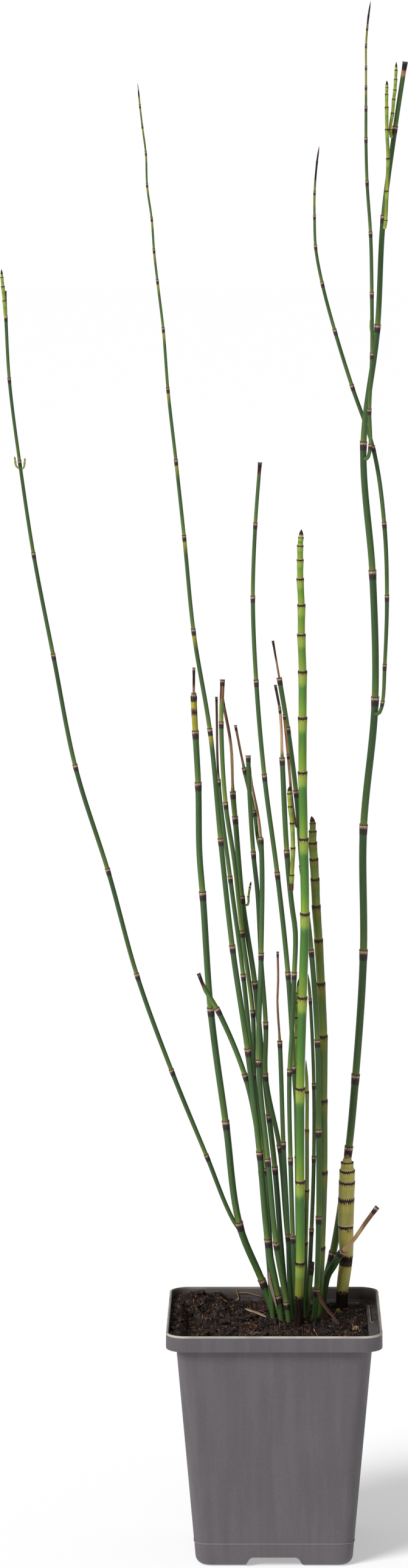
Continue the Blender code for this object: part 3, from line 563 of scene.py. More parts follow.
TAN_STRAW = StrawFinish("dead_straw_tan", "#c3a585", "#6f5340")
GREY_STRAW = StrawFinish("dead_straw_grey", "#a08b7a", "#46372e")
BROWN_STRAW = StrawFinish("dead_straw_brown", "#5b3521", "#25140d")
RED_TWIG = StrawFinish("dead_twig_red", "#9c5533", "#5a2d1c")
ROOT_FIBRE = StrawFinish("root_fibre_pale", "#b0906c", "#7d5f44")
YELLOW_ROOT = StrawFinish("root_fibre_yellow", "#9c8634", "#4a3a18")


# Stems

@dataclass
class Ring:
    """One ring of a stem's sleeve, with what the skin needs to know there."""

    along: float
    radius: float
    tooth: float = 0.0
    sheath: float | None = None
    rise: float | None = None
    inner: bool = False


@dataclass
class Stem:
    """One stem or side shoot: its route, in millimetres, and how it is dressed.

    young: pale bulged sheaths with the joint at their mouth.
    girths: height and radius pairs between the foot's and the top's, where the taper isn't even.
    flush: how far its sheaths lie level with the stem, from 0 to 1.
    dry_from: the route point above which the stem has dried and shrunk.
    dry: lengths between two route points, and how dark they have dried, from 0 to 1.
    yellow: lengths that have turned yellow, and how far, in the same way.
    collar: how yellow the stem is just below its upper sheaths.
    lightness: how light the skin is against its finish; partly the stem's own tone, and below one partly
    painted shade on the thinner, upper stems.
    root_top: height of the dark root sheath's top edge.
    """

    name: str
    node: str
    skin: Skin
    slot: str
    foot_radius: float
    top_radius: float
    route: list
    girths: list = field(default_factory=list)
    young: bool = False
    flush: float = 0.0
    dry_from: int = 99
    dry_scale: float = 0.78
    ribs: int = 13
    dry: list = field(default_factory=list)
    yellow: list = field(default_factory=list)
    collar: float = 0.0
    lightness: float = 1.0
    root_top: float = 0.0

    # A sheath's length: a fixed part, and a part for each millimetre of the stem's radius
    SHEATH_LENGTH = (0.9, 1.9)
    YOUNG_SHEATH_LENGTH = (2.2, 2.6)
    CUT_SHEATH_LENGTH = (1.5, 1.6)
    SHEATH_BELOW_JOINT = 0.6
    # The most of the internodes below and above that a sheath takes
    SHARE_BELOW = 0.45
    SHARE_ABOVE = 0.3
    CUT_SHARE = 0.6
    # Teeth, in the same way as the lengths
    TOOTH = (0.2, 0.2)
    YOUNG_TOOTH = (0.25, 0.25)
    YOUNG_TOOTH_SHARE = 0.2
    MOUTH_THICKNESS = 0.06
    # Shares of the radius: above a sheath, below one, and the ridges
    INTERNODE_NARROWING = 0.94
    WIDTH_BELOW_SHEATH = 0.985
    RIDGE_DEPTH = 0.035
    RIDGE_SHARES = (0.4, -0.6)
    FIRST_RINGS = ((0.0, 0.9), (1.0, 0.97))
    # Depth below the mouth of a broken top's throat, its share of the radius and of the sheath
    BROKEN_THROAT = ((0.6, 0.88, 0.2), (1.6, 0.7, 0.6))
    TIP_PROFILE = ((0.0, 0.94), (0.25, 0.97), (0.45, 0.93), (0.6, 0.8), (0.75, 0.6), (0.88, 0.36),
                   (1.0, 0.14))
    # A sheath's widths by the share of its length below the mouth
    OLD_PROFILE = ((1.25, 0.99), (1.0, 1.0), (0.8, 1.04), (0.55, 1.07), (0.3, 1.10), (0.1, 1.13),
                   (0.02, 1.14))
    YOUNG_PROFILE = ((1.25, 0.97), (1.0, 0.985), (0.75, 1.02), (0.45, 1.05), (0.2, 1.08), (0.1, 1.12),
                     (0.02, 1.13))
    SHEATH_REACH = 1.35
    RING_STEP = 5.0
    # The yellow collar's ends in sheath lengths, and the share of the stem below which it has none
    COLLAR = (0.85, 1.7)
    COLLAR_FROM = 0.4
    # Dried lengths are flattened and wrinkled
    DRIED_FLATNESS = 0.72
    DRIED_WRINKLE = 0.16
    CRISP_ANGLE = math.radians(60.0)

    def __post_init__(self) -> None:
        """Measure the route."""
        self.places = [Vector(p[:3]) for p in self.route]
        self.kinds = [p[3] for p in self.route]
        self.lengths = [(b - a).length for a, b in zip(self.places, self.places[1:])]
        self.marks = [sum(self.lengths[:i]) for i in range(len(self.places))]
        steps = [(b - a).normalized() for a, b in zip(self.places, self.places[1:])]
        self.ways = [steps[0]] + [(a + b).normalized() for a, b in zip(steps, steps[1:])] + [steps[-1]]
        mean = (self.places[-1] - self.places[0]).normalized()
        self.side = Vector((0.0, 1.0, 0.0)) if abs(mean.y) < 0.8 else Vector((1.0, 0.0, 0.0))

    def at(self, along: float) -> tuple[Vector, Vector]:
        """Place and direction on the smooth route.

        Args:
            along: millimetres from the foot.

        Returns:
            The centre and the unit direction there.
        """
        number = max(i for i, mark in enumerate(self.marks[:-1]) if mark <= max(along, 0.0))
        length = self.lengths[number]
        t = (along - self.marks[number]) / length
        a, b = self.places[number], self.places[number + 1]
        if t > 1.0:
            return b + self.ways[-1] * (along - self.marks[-1]), self.ways[-1]
        u, v = self.ways[number] * length, self.ways[number + 1] * length
        place = (a * (2 * t ** 3 - 3 * t * t + 1) + u * (t ** 3 - 2 * t * t + t)
                 + b * (3 * t * t - 2 * t ** 3) + v * (t ** 3 - t * t))
        way = (a * (6 * t * t - 6 * t) + u * (3 * t * t - 4 * t + 1)
               + b * (6 * t - 6 * t * t) + v * (3 * t * t - 2 * t))
        return place, way.normalized()

    def radius(self, along: float) -> float:
        """The stem's plain radius.

        Args:
            along: millimetres from the foot.

        Returns:
            The radius in millimetres.
        """
        height = self.at(along)[0].z
        profile = [(self.places[0].z, self.foot_radius), *self.girths, (self.places[-1].z, self.top_radius)]
        plain = self.top_radius
        for (low, start), (high, end) in zip(profile, profile[1:]):
            if height <= high:
                plain = start + (end - start) * (height - low) / (high - low)
                break
        if self.dry_from < len(self.marks) and along > self.marks[self.dry_from] + 0.5:
            plain *= self.dry_scale
        return plain

    def narrowing(self) -> float:
        """An internode's girth at its foot against the internode below it."""
        return 1.0 - (1.0 - self.flush) * (1.0 - self.INTERNODE_NARROWING)

    def mouths(self) -> list[tuple[float, float, Kind]]:
        """Find the sheaths.

        Returns:
            Where each sheath's mouth lies along the stem, its length and its kind.
        """
        found = []
        for i, kind in enumerate(self.kinds):
            before = self.lengths[i - 1] if i else self.lengths[0]
            after = self.lengths[i] if i < len(self.lengths) else before
            plain = self.radius(self.marks[i])
            if kind == Kind.JOINT:
                base, slope = self.YOUNG_SHEATH_LENGTH if self.young else self.SHEATH_LENGTH
                length = min(base + slope * plain, self.SHARE_BELOW * before)
                up = 0.0
                if not self.young:
                    up = min(self.SHEATH_BELOW_JOINT * length, self.SHARE_ABOVE * after)
                    length = self.SHEATH_BELOW_JOINT * length + up
                found.append((self.marks[i] + up, length, kind))
            elif kind == Kind.CUT:
                base, slope = self.CUT_SHEATH_LENGTH
                found.append((self.marks[i], min(base + slope * plain, self.CUT_SHARE * before), kind))
        return found

    def internode(self, start: float, end: float, first: float) -> list[Ring]:
        """Rings of the plain stem between two heights.

        Args:
            start: the first ring's distance from the foot.
            end: the distance that the rings stop short of.
            first: the stem's radius share at the start, which grows back to one.

        Returns:
            The rings.
        """
        count = max(2, math.ceil((end - start) / self.RING_STEP) + 1)
        rings = []
        for i in range(count):
            t = i / count
            along = start + (end - start) * t
            rings.append(Ring(along, self.radius(along) * (first + (self.WIDTH_BELOW_SHEATH - first) * t)))
        return rings

    def sheath_rings(self, mouth: float, length: float, kind: Kind) -> list[Ring]:
        """Rings of a sheath, its teeth and the throat inside it.

        Args:
            mouth: the mouth's distance from the foot.
            length: the sheath's length.
            kind: a joint, or a cut top.

        Returns:
            The rings, from under the sheath to inside its mouth.
        """
        plain = self.radius(min(mouth, self.marks[-1]) - length)
        proud = 1.0 - self.flush
        profile = [(share, 1.0 + proud * (wide - 1.0)) for share, wide in
                   (self.YOUNG_PROFILE if self.young else self.OLD_PROFILE)]
        rings = [Ring(mouth - share * length, plain * wide, sheath=share) for share, wide in profile]
        tooth = self.TOOTH[0] + self.TOOTH[1] * plain
        if self.young:
            tooth = min(self.YOUNG_TOOTH[0] + self.YOUNG_TOOTH[1] * plain, self.YOUNG_TOOTH_SHARE * length)
        flare = profile[-1][1]
        rings.append(Ring(mouth, plain * (flare + 0.005), tooth=tooth, sheath=0.0))
        rings.append(Ring(mouth, plain * (flare - self.MOUTH_THICKNESS), tooth=tooth * 0.95, sheath=0.0,
                          rise=0.0, inner=True))
        if kind == Kind.JOINT:
            after = self.radius(mouth + 0.6)
            depth = min(0.5, 0.12 * length)
            wall = plain * (flare - 0.1)
            rings.append(Ring(mouth - depth, min(wall, after * 1.05), sheath=-0.1, rise=0.0, inner=True))
            rings.append(Ring(mouth - depth, min(after * self.narrowing(), wall), rise=0.0, inner=True))
        else:
            rings += [Ring(mouth - depth, plain * wide, sheath=share, inner=True)
                      for depth, wide, share in self.BROKEN_THROAT]
        return rings

    def rings(self) -> list[Ring]:
        """Lay out the whole stem.

        Returns:
            Every ring from its foot to its top, with the skin's numbers filled in.
        """
        (foot, wide), (start, first) = self.FIRST_RINGS
        rings = [Ring(foot, self.radius(foot) * wide)]
        mouths = self.mouths()
        for mouth, length, kind in mouths:
            rings += self.internode(start, mouth - self.SHEATH_REACH * length, first)
            rings += self.sheath_rings(mouth, length, kind)
            start, first = mouth + 0.1, self.narrowing()
        if self.kinds[-1] == Kind.TIP:
            reach = self.marks[-1] - start
            rings += [Ring(start + reach * t, self.radius(start + reach * t) * wide)
                      for t, wide in self.TIP_PROFILE]
        ends = [0.0] + [mouth for mouth, _, _ in mouths]
        for ring in rings:
            if ring.rise is None:
                ring.rise = ring.along - max(e for e in ends if e <= ring.along + 1e-6 or e == 0.0)
                if ring.sheath is not None:
                    lower = [e for e in ends if e < ring.along - 2.0]
                    ring.rise = ring.along - (lower[-1] if lower else 0.0)
            if ring.sheath is None:
                above = [(mouth, length) for mouth, length, _ in mouths if mouth > ring.along]
                ring.sheath = (above[0][0] - ring.along) / above[0][1] if above else 9.0
        return rings

    def marked(self, ranges: list, along: float) -> tuple[float, float]:
        """Whether one of a list of lengths covers a distance from the foot, and its amount.

        Args:
            ranges: first and last route point, with parts of the way to the next, and an amount.
            along: the distance in millimetres.

        Returns:
            One or zero, and the amount.
        """
        for first, last, amount in ranges:
            if self.station(first) <= along <= self.station(last) + 0.01:
                return 1.0, amount
        return 0.0, 0.0

    def station(self, index: float) -> float:
        """Distance of a route point from the foot.

        Args:
            index: the point's number, with a share of the way to the next point added.

        Returns:
            The distance in millimetres.
        """
        whole = min(int(index), len(self.marks) - 1)
        rest = index - whole
        return self.marks[whole] + (rest * self.lengths[whole] if rest and whole < len(self.lengths) else 0.0)

    def build(self) -> bpy.types.Object:
        """Make the stem's sleeve and dress it.

        Returns:
            The finished piece.
        """
        rings = self.rings()
        columns = 2 * self.ribs
        spots = [self.at(ring.along) for ring in rings]
        dry = [self.marked(self.dry, ring.along) for ring in rings]
        yellow = [self.marked(self.yellow, ring.along)[1] for ring in rings]
        dried = self.marks[self.dry_from] if self.dry_from < len(self.marks) else 1e9

        def place(column: int, row: int) -> Vector:
            """Where a point of the sleeve lies.

            Args:
                column: its number round the stem; even ones are ridges.
                row: its ring.

            Returns:
                The place in millimetres.
            """
            ring, (centre, way) = rings[row], spots[row]
            across = way.cross(self.side).normalized()
            behind = across.cross(way).normalized()
            angle = FULL_TURN * column / columns
            ridge = column % 2 == 0
            depth = self.RIDGE_DEPTH if not ring.inner else 0.0
            reach = ring.radius * (1.0 + depth * self.RIDGE_SHARES[0 if ridge else 1])
            squash = 1.0
            if dry[row][0] and ring.along > dried:
                seed = Vector((self.places[0].x, ring.along * 0.12, 3.0))
                squash = self.DRIED_FLATNESS
                spot = Vector((math.cos(angle), math.sin(angle), 0)) * 1.5 + seed
                reach *= 1.0 + self.DRIED_WRINKLE * noise.noise(spot)
            offset = across * math.cos(angle) * reach * squash + behind * math.sin(angle) * reach
            return centre + offset + way * (ring.tooth if ridge else 0.0)

        def paint(column: int, row: int) -> dict[str, Any]:
            """What the skin reads at a point of the sleeve.

            Args:
                column: its number round the stem.
                row: its ring.

            Returns:
                Values by attribute name.
            """
            ring = rings[row]
            angle = FULL_TURN * column / columns
            ridge = 1.0 if column % 2 == 0 else 0.0
            collared = (self.COLLAR[0] < ring.sheath < self.COLLAR[1]
                        and ring.along > self.COLLAR_FROM * self.marks[-1])
            return {"straight": Vector((math.cos(angle), math.sin(angle), 37.0)) * self.foot_radius
                    + Vector((0.0, 0.0, ring.along)),
                    "ridge": ridge, "rise": ring.rise, "sheath": ring.sheath - ring.tooth * ridge / 4.0,
                    "dry": dry[row][0], "tone": dry[row][1],
                    "yellow": max(yellow[row], self.collar if collared else 0.0),
                    "lightness": self.lightness,
                    "root": self.root_top - spots[row][0].z if self.root_top else -9.0}

        return finished_piece(sleeve(columns, len(rings), place, paint), self.name,
                              self.skin.value.material(), (self.node,), self.CRISP_ANGLE)


# Names of material slots, and the stems with their side shoots from left to right
GREEN, FRESH_SLOT, OLIVE_SLOT, CREAM_SLOT, YELLOW_SLOT, TAN_SLOT, BROWN_SLOT = (
    "stem_green", "stem_fresh", "shoot_olive", "shoot_cream", "shoot_yellow_green", "dry_tan", "dry_brown")

LEFT_STEMS = [
    Stem("leaning_stem_left", "stem_left_leaning", Skin.OLD, GREEN, 1.55, 1.3, dry_from=9, dry_scale=0.6,
         route=[(1.5, 27, 86, B), (-4.5, 27, 103.5, J), (-14.5, 25, 128.5, J), (-20.5, 24, 172, J),
                (-27, 24, 220.5, J), (-30.5, 25, 270, J), (-32, 26, 288.5, B), (-32.5, 28, 316.5, J),
                (-33.7, 29.7, 338.5, J), (-34.5, 31, 354.5, J), (-34.5, 31, 367.5, C)],
         dry=[(8.62, 8.75, 0.9), (9.12, 9.5, 0.35), (9.5, 9.9, 0.95), (9.9, 10, 0.5)],
         yellow=[(8.1, 8.6, 0.85), (8.6, 9.0, 1.0)]),
    Stem("leaning_branch_left", "stem_left_leaning", Skin.OLD, GREEN, 0.93, 0.72, ribs=9, lightness=0.85,
         girths=[(180, 0.99), (320, 1), (400, 0.88), (470, 0.72)],
         route=[(-14.5, 25, 127, B), (-17.5, 25, 131.5, B), (-28.5, 25, 158, J), (-43.5, 25, 194.5, J),
                (-58.5, 25, 235.5, J), (-71, 25, 280.5, J), (-85, 25, 325, J), (-94.5, 25, 372.5, J),
                (-103, 25, 416, J), (-109, 25, 455.5, J), (-113.5, 25, 491, J), (-115, 25, 517.5, J),
                (-115.5, 25, 529.5, C)],
         dry=[(11.1, 12, 0.85)]),
    Stem("twig_left_outer", "stem_left_leaning", Skin.YELLOW, GREEN, 0.45, 0.4, ribs=6, young=True,
         route=[(-109, 25, 453.5, B), (-110.5, 24.6, 454.5, B), (-111, 24.4, 456.5, J),
                (-111.2, 24.3, 458.8, T)],
         dry=[(2.6, 3, 0.95)]),
    Stem("twig_left_inner", "stem_left_leaning", Skin.YELLOW, GREEN, 0.45, 0.4, ribs=6, young=True,
         route=[(-109, 25, 453, B), (-107.4, 24.8, 454, B), (-107, 24.7, 456, J), (-106.8, 24.6, 458.2, T)],
         dry=[(2.6, 3, 0.95)]),
    Stem("slender_stem_tall", "stem_tall_slender", Skin.OLD, GREEN, 1.4, 0.38, collar=0.7, lightness=0.95,
         girths=[(230, 1.24), (356, 0.96), (475, 0.73), (525, 0.57), (605, 0.38)],
         route=[(4, 6, 86, B), (2, 5, 102, J), (-2.5, 4, 126, J), (-6, 2, 163.5, J), (-11, 0, 207.5, J),
                (-17.5, -2, 251.5, J), (-22.5, -4, 297, J), (-27, -4, 343.5, J), (-34, -2, 385.5, J),
                (-38, 0, 425, J), (-41.5, 2, 457, J), (-45, 4, 487.5, J), (-47, 5, 513, J),
                (-49.5, 6, 533.5, J), (-51, 7, 546.5, J), (-52, 8, 560, J), (-54, 8, 574.5, J),
                (-54.5, 8, 588, J), (-56, 8, 599.5, J), (-57, 8, 608, J), (-58, 8, 618, T)],
         dry=[(19.5, 19.69, 0.9), (19.69, 19.82, 0.1), (19.82, 20, 0.9)], yellow=[(19, 19.5, 0.5)]),
    Stem("brown_topped_stem", "stem_brown_top", Skin.OLD, GREEN, 1.1, 0.9, dry_from=6,
         route=[(0.5, 18, 86, B), (-2, 17, 112.5, B), (-5.5, 14, 153, J), (-9, 11, 195.5, J),
                (-13, 8, 238, J), (-18.5, 5, 280, J), (-23.5, 4, 321, J), (-24.5, 6, 357.5, C)],
         dry=[(6.1, 7, 0.8)]),
    Stem("light_green_stem", "stem_light_green", Skin.FRESH, FRESH_SLOT, 1.05, 0.95,
         route=[(2.5, 22, 86, B), (-1, 21, 114, B), (-3.5, 19, 153.5, J), (-6, 17, 173.5, B),
                (-8.5, 15, 195.5, B), (-9, 14.5, 221.5, J), (-13.5, 11, 256, J), (-17, 10, 288, B),
                (-20.5, 11, 310.5, J), (-22.5, 14, 344.5, J), (-22, 14, 364, C)],
         dry=[(9.6, 10, 0.5)]),
    Stem("dry_topped_stem", "stem_dry_above", Skin.OLD, GREEN, 1.2, 1.15, dry_from=8,
         route=[(6.5, 22, 86, B), (3.5, 21, 115.5, B), (0.5, 18, 154, J), (-2, 16, 176.5, J),
                (-5.5, 14, 207.5, B), (-8, 12, 234, J), (-13.5, 14, 270, J), (-16.5, 17, 303.5, J),
                (-17.5, 18, 314, J), (-18.5, 19, 336, B), (-22, 20, 355, C)],
         dry=[(8.1, 9.0, 0.2), (9.0, 10, 0.6)]),
    Stem("twig_on_dry_stem", "stem_dry_above", Skin.YELLOW, GREEN, 0.5, 0.45, ribs=6, young=True,
         route=[(-13.2, 13.8, 268, B), (-11.2, 12.6, 268.5, B), (-10.9, 12.2, 272, J), (-10.3, 12, 276, J),
                (-9.8, 12, 278.5, T)],
         dry=[(3.3, 4, 0.95)]),
    Stem("short_cut_stem", "stem_cut_short", Skin.OLD, GREEN, 1.1, 0.97,
         route=[(9, 17.5, 86, B), (7.5, 16, 108.5, B), (5, 14, 135, B), (2.5, 12, 164.5, J),
                (-3.5, 9, 195.5, J), (-3.5, 8, 217.5, J), (-5.5, 8, 245.5, B), (-7, 8, 274, B),
                (-8.7, 7.5, 290, J), (-10.7, 6, 322.5, B), (-11, 7, 332.5, C)]),
    Stem("forked_stem", "stem_forked", Skin.OLD, GREEN, 1.22, 1.03, dry_from=6,
         route=[(7, 3, 86, B), (5.5, 2, 100, J), (1, 1, 125.5, J), (-2.5, 0, 161, J), (-6.5, -1, 203, J),
                (-5.5, 0, 248, J), (-5.5, 2, 296.5, J), (-7, 9.8, 308, B), (-9.8, 14, 321, B),
                (-10.5, 14.5, 326.5, C)],
         dry=[(6.1, 9, 0.25)]),
    Stem("fork_branch_green", "stem_forked", Skin.OLD, GREEN, 0.75, 0.98, ribs=9, dry_from=3,
         route=[(-5.5, 2, 291.5, B), (-7, 8.6, 297.5, B), (-8.3, 12.5, 307, J), (-12.5, 14, 325, J),
                (-16.5, 15, 344.5, C)],
         dry=[(3.2, 4, 0.5)]),
    Stem("crossing_stem", "stem_crossing", Skin.OLD, GREEN, 1.22, 1.1, dry_from=5, dry_scale=0.95,
         route=[(0, 11.5, 86, B), (-3.5, 9, 136, B), (-5.5, 7, 158, J), (-7.5, 5.5, 175.5, B),
                (-12, 5, 196, J), (-23.5, 5, 224, J), (-30, 6, 235, B), (-32, 6, 240, C)],
         dry=[(6, 7, 0.8)]),
]

MIDDLE_STEMS = [
    Stem("tall_cut_stem", "stem_cut_tall", Skin.OLD, GREEN, 1.12, 0.78,
         girths=[(252, 1.09), (300, 1.02), (388, 0.94)],
         route=[(13, 10, 86, B), (11.5, 9, 126, B), (10.5, 7, 167.5, J), (8.5, 5, 199.5, J),
                (6, 3, 239.5, J), (1.5, 2, 282, J), (-4, 2, 323.5, J), (-7.5, 2, 363.5, J), (-9, 3, 399, J),
                (-8, 4, 430, J), (-6, 5, 457, C)],
         dry=[(9.8, 10, 0.85)]),
    Stem("short_brown_stem", "stem_brown_short", Skin.OLD, GREEN, 1.05, 0.95, dry_from=4, dry_scale=0.7,
         route=[(7.8, 10.5, 86, B), (6.5, 9, 110.5, B), (6, 8, 127.5, J), (4, 6, 167, J), (2.5, 5, 210, J),
                (1.4, 5, 229.5, B), (1.7, 5, 236.5, B), (1.5, 5, 249.5, C)],
         dry=[(4.1, 7, 0.45)]),
    Stem("tan_topped_stem", "stem_tan_top", Skin.OLD, GREEN, 1.1, 0.95, dry_from=9,
         girths=[(172, 0.97), (204, 0.97), (264, 1.14), (318, 1.14)],
         route=[(9.5, 6.5, 86, B), (8, 4, 127.5, J), (7, 2, 161, J), (6.5, 0, 199, J), (7.5, -1, 216, B),
                (8.5, -1, 240, J), (9, 0, 259, B), (7.5, 1, 270, B), (5.5, 3, 291, J), (3.5, 5, 330, J),
                (2.5, 6, 351.5, J), (0.5, 6, 362.5, C)],
         dry=[(9.1, 10.2, 0.2), (10.2, 11, 0.85)]),
    Stem("young_shoot_on_stem", "shoot_on_tan_top", Skin.YELLOW, YELLOW_SLOT, 0.98, 0.9, ribs=9, young=True,
         route=[(7.3, -1.1, 276.5, B), (7.5, -1.3, 283, J), (8, -1.3, 294.5, J), (7.6, -1.3, 305, J),
                (6.8, -1.3, 312, J), (6.5, -1.3, 317.5, J), (6.5, -1.3, 320.5, T)],
         dry=[(0, 0.5, 0.7), (5.3, 6, 0.95)]),
    Stem("thin_dry_stem", "stem_dry_thin", Skin.OLD, TAN_SLOT, 0.55, 0.6, ribs=8,
         route=[(9.6, 12.6, 301.5, B), (8.6, 11.6, 306, B), (6, 11, 331.5, J), (4.3, 11, 349.5, C)],
         dry=[(0, 1.5, 0.7), (1.5, 3, 0.35)]),
    Stem("front_right_stem", "stem_front_right", Skin.OLD, GREEN, 1.25, 1.03, dry_from=9, dry_scale=0.62,
         route=[(16.3, 6, 86, B), (18, 6, 104.5, J), (19, 7, 135, J), (19, 9, 171.5, J),
                (18.5, 10, 209.5, J), (16, 12, 247.5, J), (12, 14, 283, J), (9.5, 15, 315, J),
                (6, 15, 342, J), (2.5, 15, 363, J), (-0.5, 15, 380.5, C)],
         dry=[(9.1, 9.55, 0.3), (9.55, 10, 0.85)]),
    Stem("bright_young_shoot", "shoot_bright", Skin.BRIGHT, FRESH_SLOT, 1.92, 0.85, ribs=20, young=True,
         lightness=0.92, root_top=106.0,
         girths=[(277, 1.85), (362, 1.75), (392, 1.55), (413, 1.32), (422, 1.22)],
         route=[(10.5, -2, 86, B), (10.5, -2, 103, B), (11, -3, 119.5, J), (11, -4, 154, J),
                (11, -5, 193.5, J), (12, -6, 232, J), (13, -7, 267.5, J), (12.5, -7, 299, J),
                (12, -7, 327, J), (12, -7, 350, J), (12, -7, 369.5, J), (11.5, -7, 385, J),
                (11.5, -7, 397.5, J), (11, -7, 408.5, J), (11, -7, 416.5, J), (11, -7, 422.5, J),
                (11.3, -7, 426, J), (11.5, -7, 429.5, T)],
         dry=[(1.85, 2.0, 0.72), (16.3, 17, 0.95)], yellow=[(0, 1.85, 0.5)]),
    Stem("olive_young_shoot", "shoot_olive", Skin.OLIVE, OLIVE_SLOT, 1.82, 0.95, ribs=18, young=True,
         flush=0.4, lightness=0.95,
         girths=[(290, 1.8), (297, 1.6), (302.5, 1.15)],
         route=[(18.5, 17, 86, B), (20, 17, 121.5, J), (21, 18, 153.5, J), (21, 18, 184, J),
                (21, 18, 211.5, J), (20, 18, 234, J), (19, 18, 252.5, J), (18, 18, 267, J),
                (17.5, 18, 278.5, J), (17, 18, 287, J), (16.5, 18, 294, J), (16.5, 18, 299, J),
                (16.5, 18, 302.5, J), (16, 18, 305.5, T)],
         dry=[(12.1, 13, 0.9)]),
    Stem("small_yellow_shoot", "shoot_small_yellow", Skin.YELLOW, YELLOW_SLOT, 0.85, 0.62, ribs=10,
         young=True,
         route=[(10.3, 14, 86, B), (9.5, 11, 161.5, J), (9, 9.5, 190.5, J), (9, 9, 202, J),
                (9.2, 8, 213, J), (9.5, 7, 221.5, J), (9.7, 6.5, 228, J), (10, 6, 232, J),
                (10.2, 6, 234.5, J), (10.5, 6, 238, T)],
         dry=[(8.1, 9, 0.9)]),
    Stem("small_olive_shoot", "shoot_small_olive", Skin.OLIVE, OLIVE_SLOT, 1.05, 0.75, ribs=11, young=True,
         route=[(13, 17.5, 86, B), (13.5, 13, 124.5, J), (14, 10, 147.5, J), (14, 8, 173.5, J),
                (14, 7, 190, J), (13.5, 6, 203.5, T)],
         dry=[(4.8, 5, 0.9)]),
    Stem("thin_stem_right", "stem_thin_right", Skin.OLD, GREEN, 1.0, 0.7, ribs=11,
         route=[(14, 22, 86, B), (16, 21, 127, J), (17, 19, 158.5, J), (17, 17.3, 190, J),
                (15.5, 16, 226.5, J), (14.5, 16, 238.5, T)]),
    Stem("low_stub_stem", "stem_stub_low", Skin.FRESH, FRESH_SLOT, 0.95, 0.9, ribs=11,
         route=[(12.6, 13.3, 86, B), (13.8, 12.5, 94, B), (16, 11, 113, J), (16.2, 11, 116.5, C)],
         dry=[(1.9, 3, 0.9)]),
]

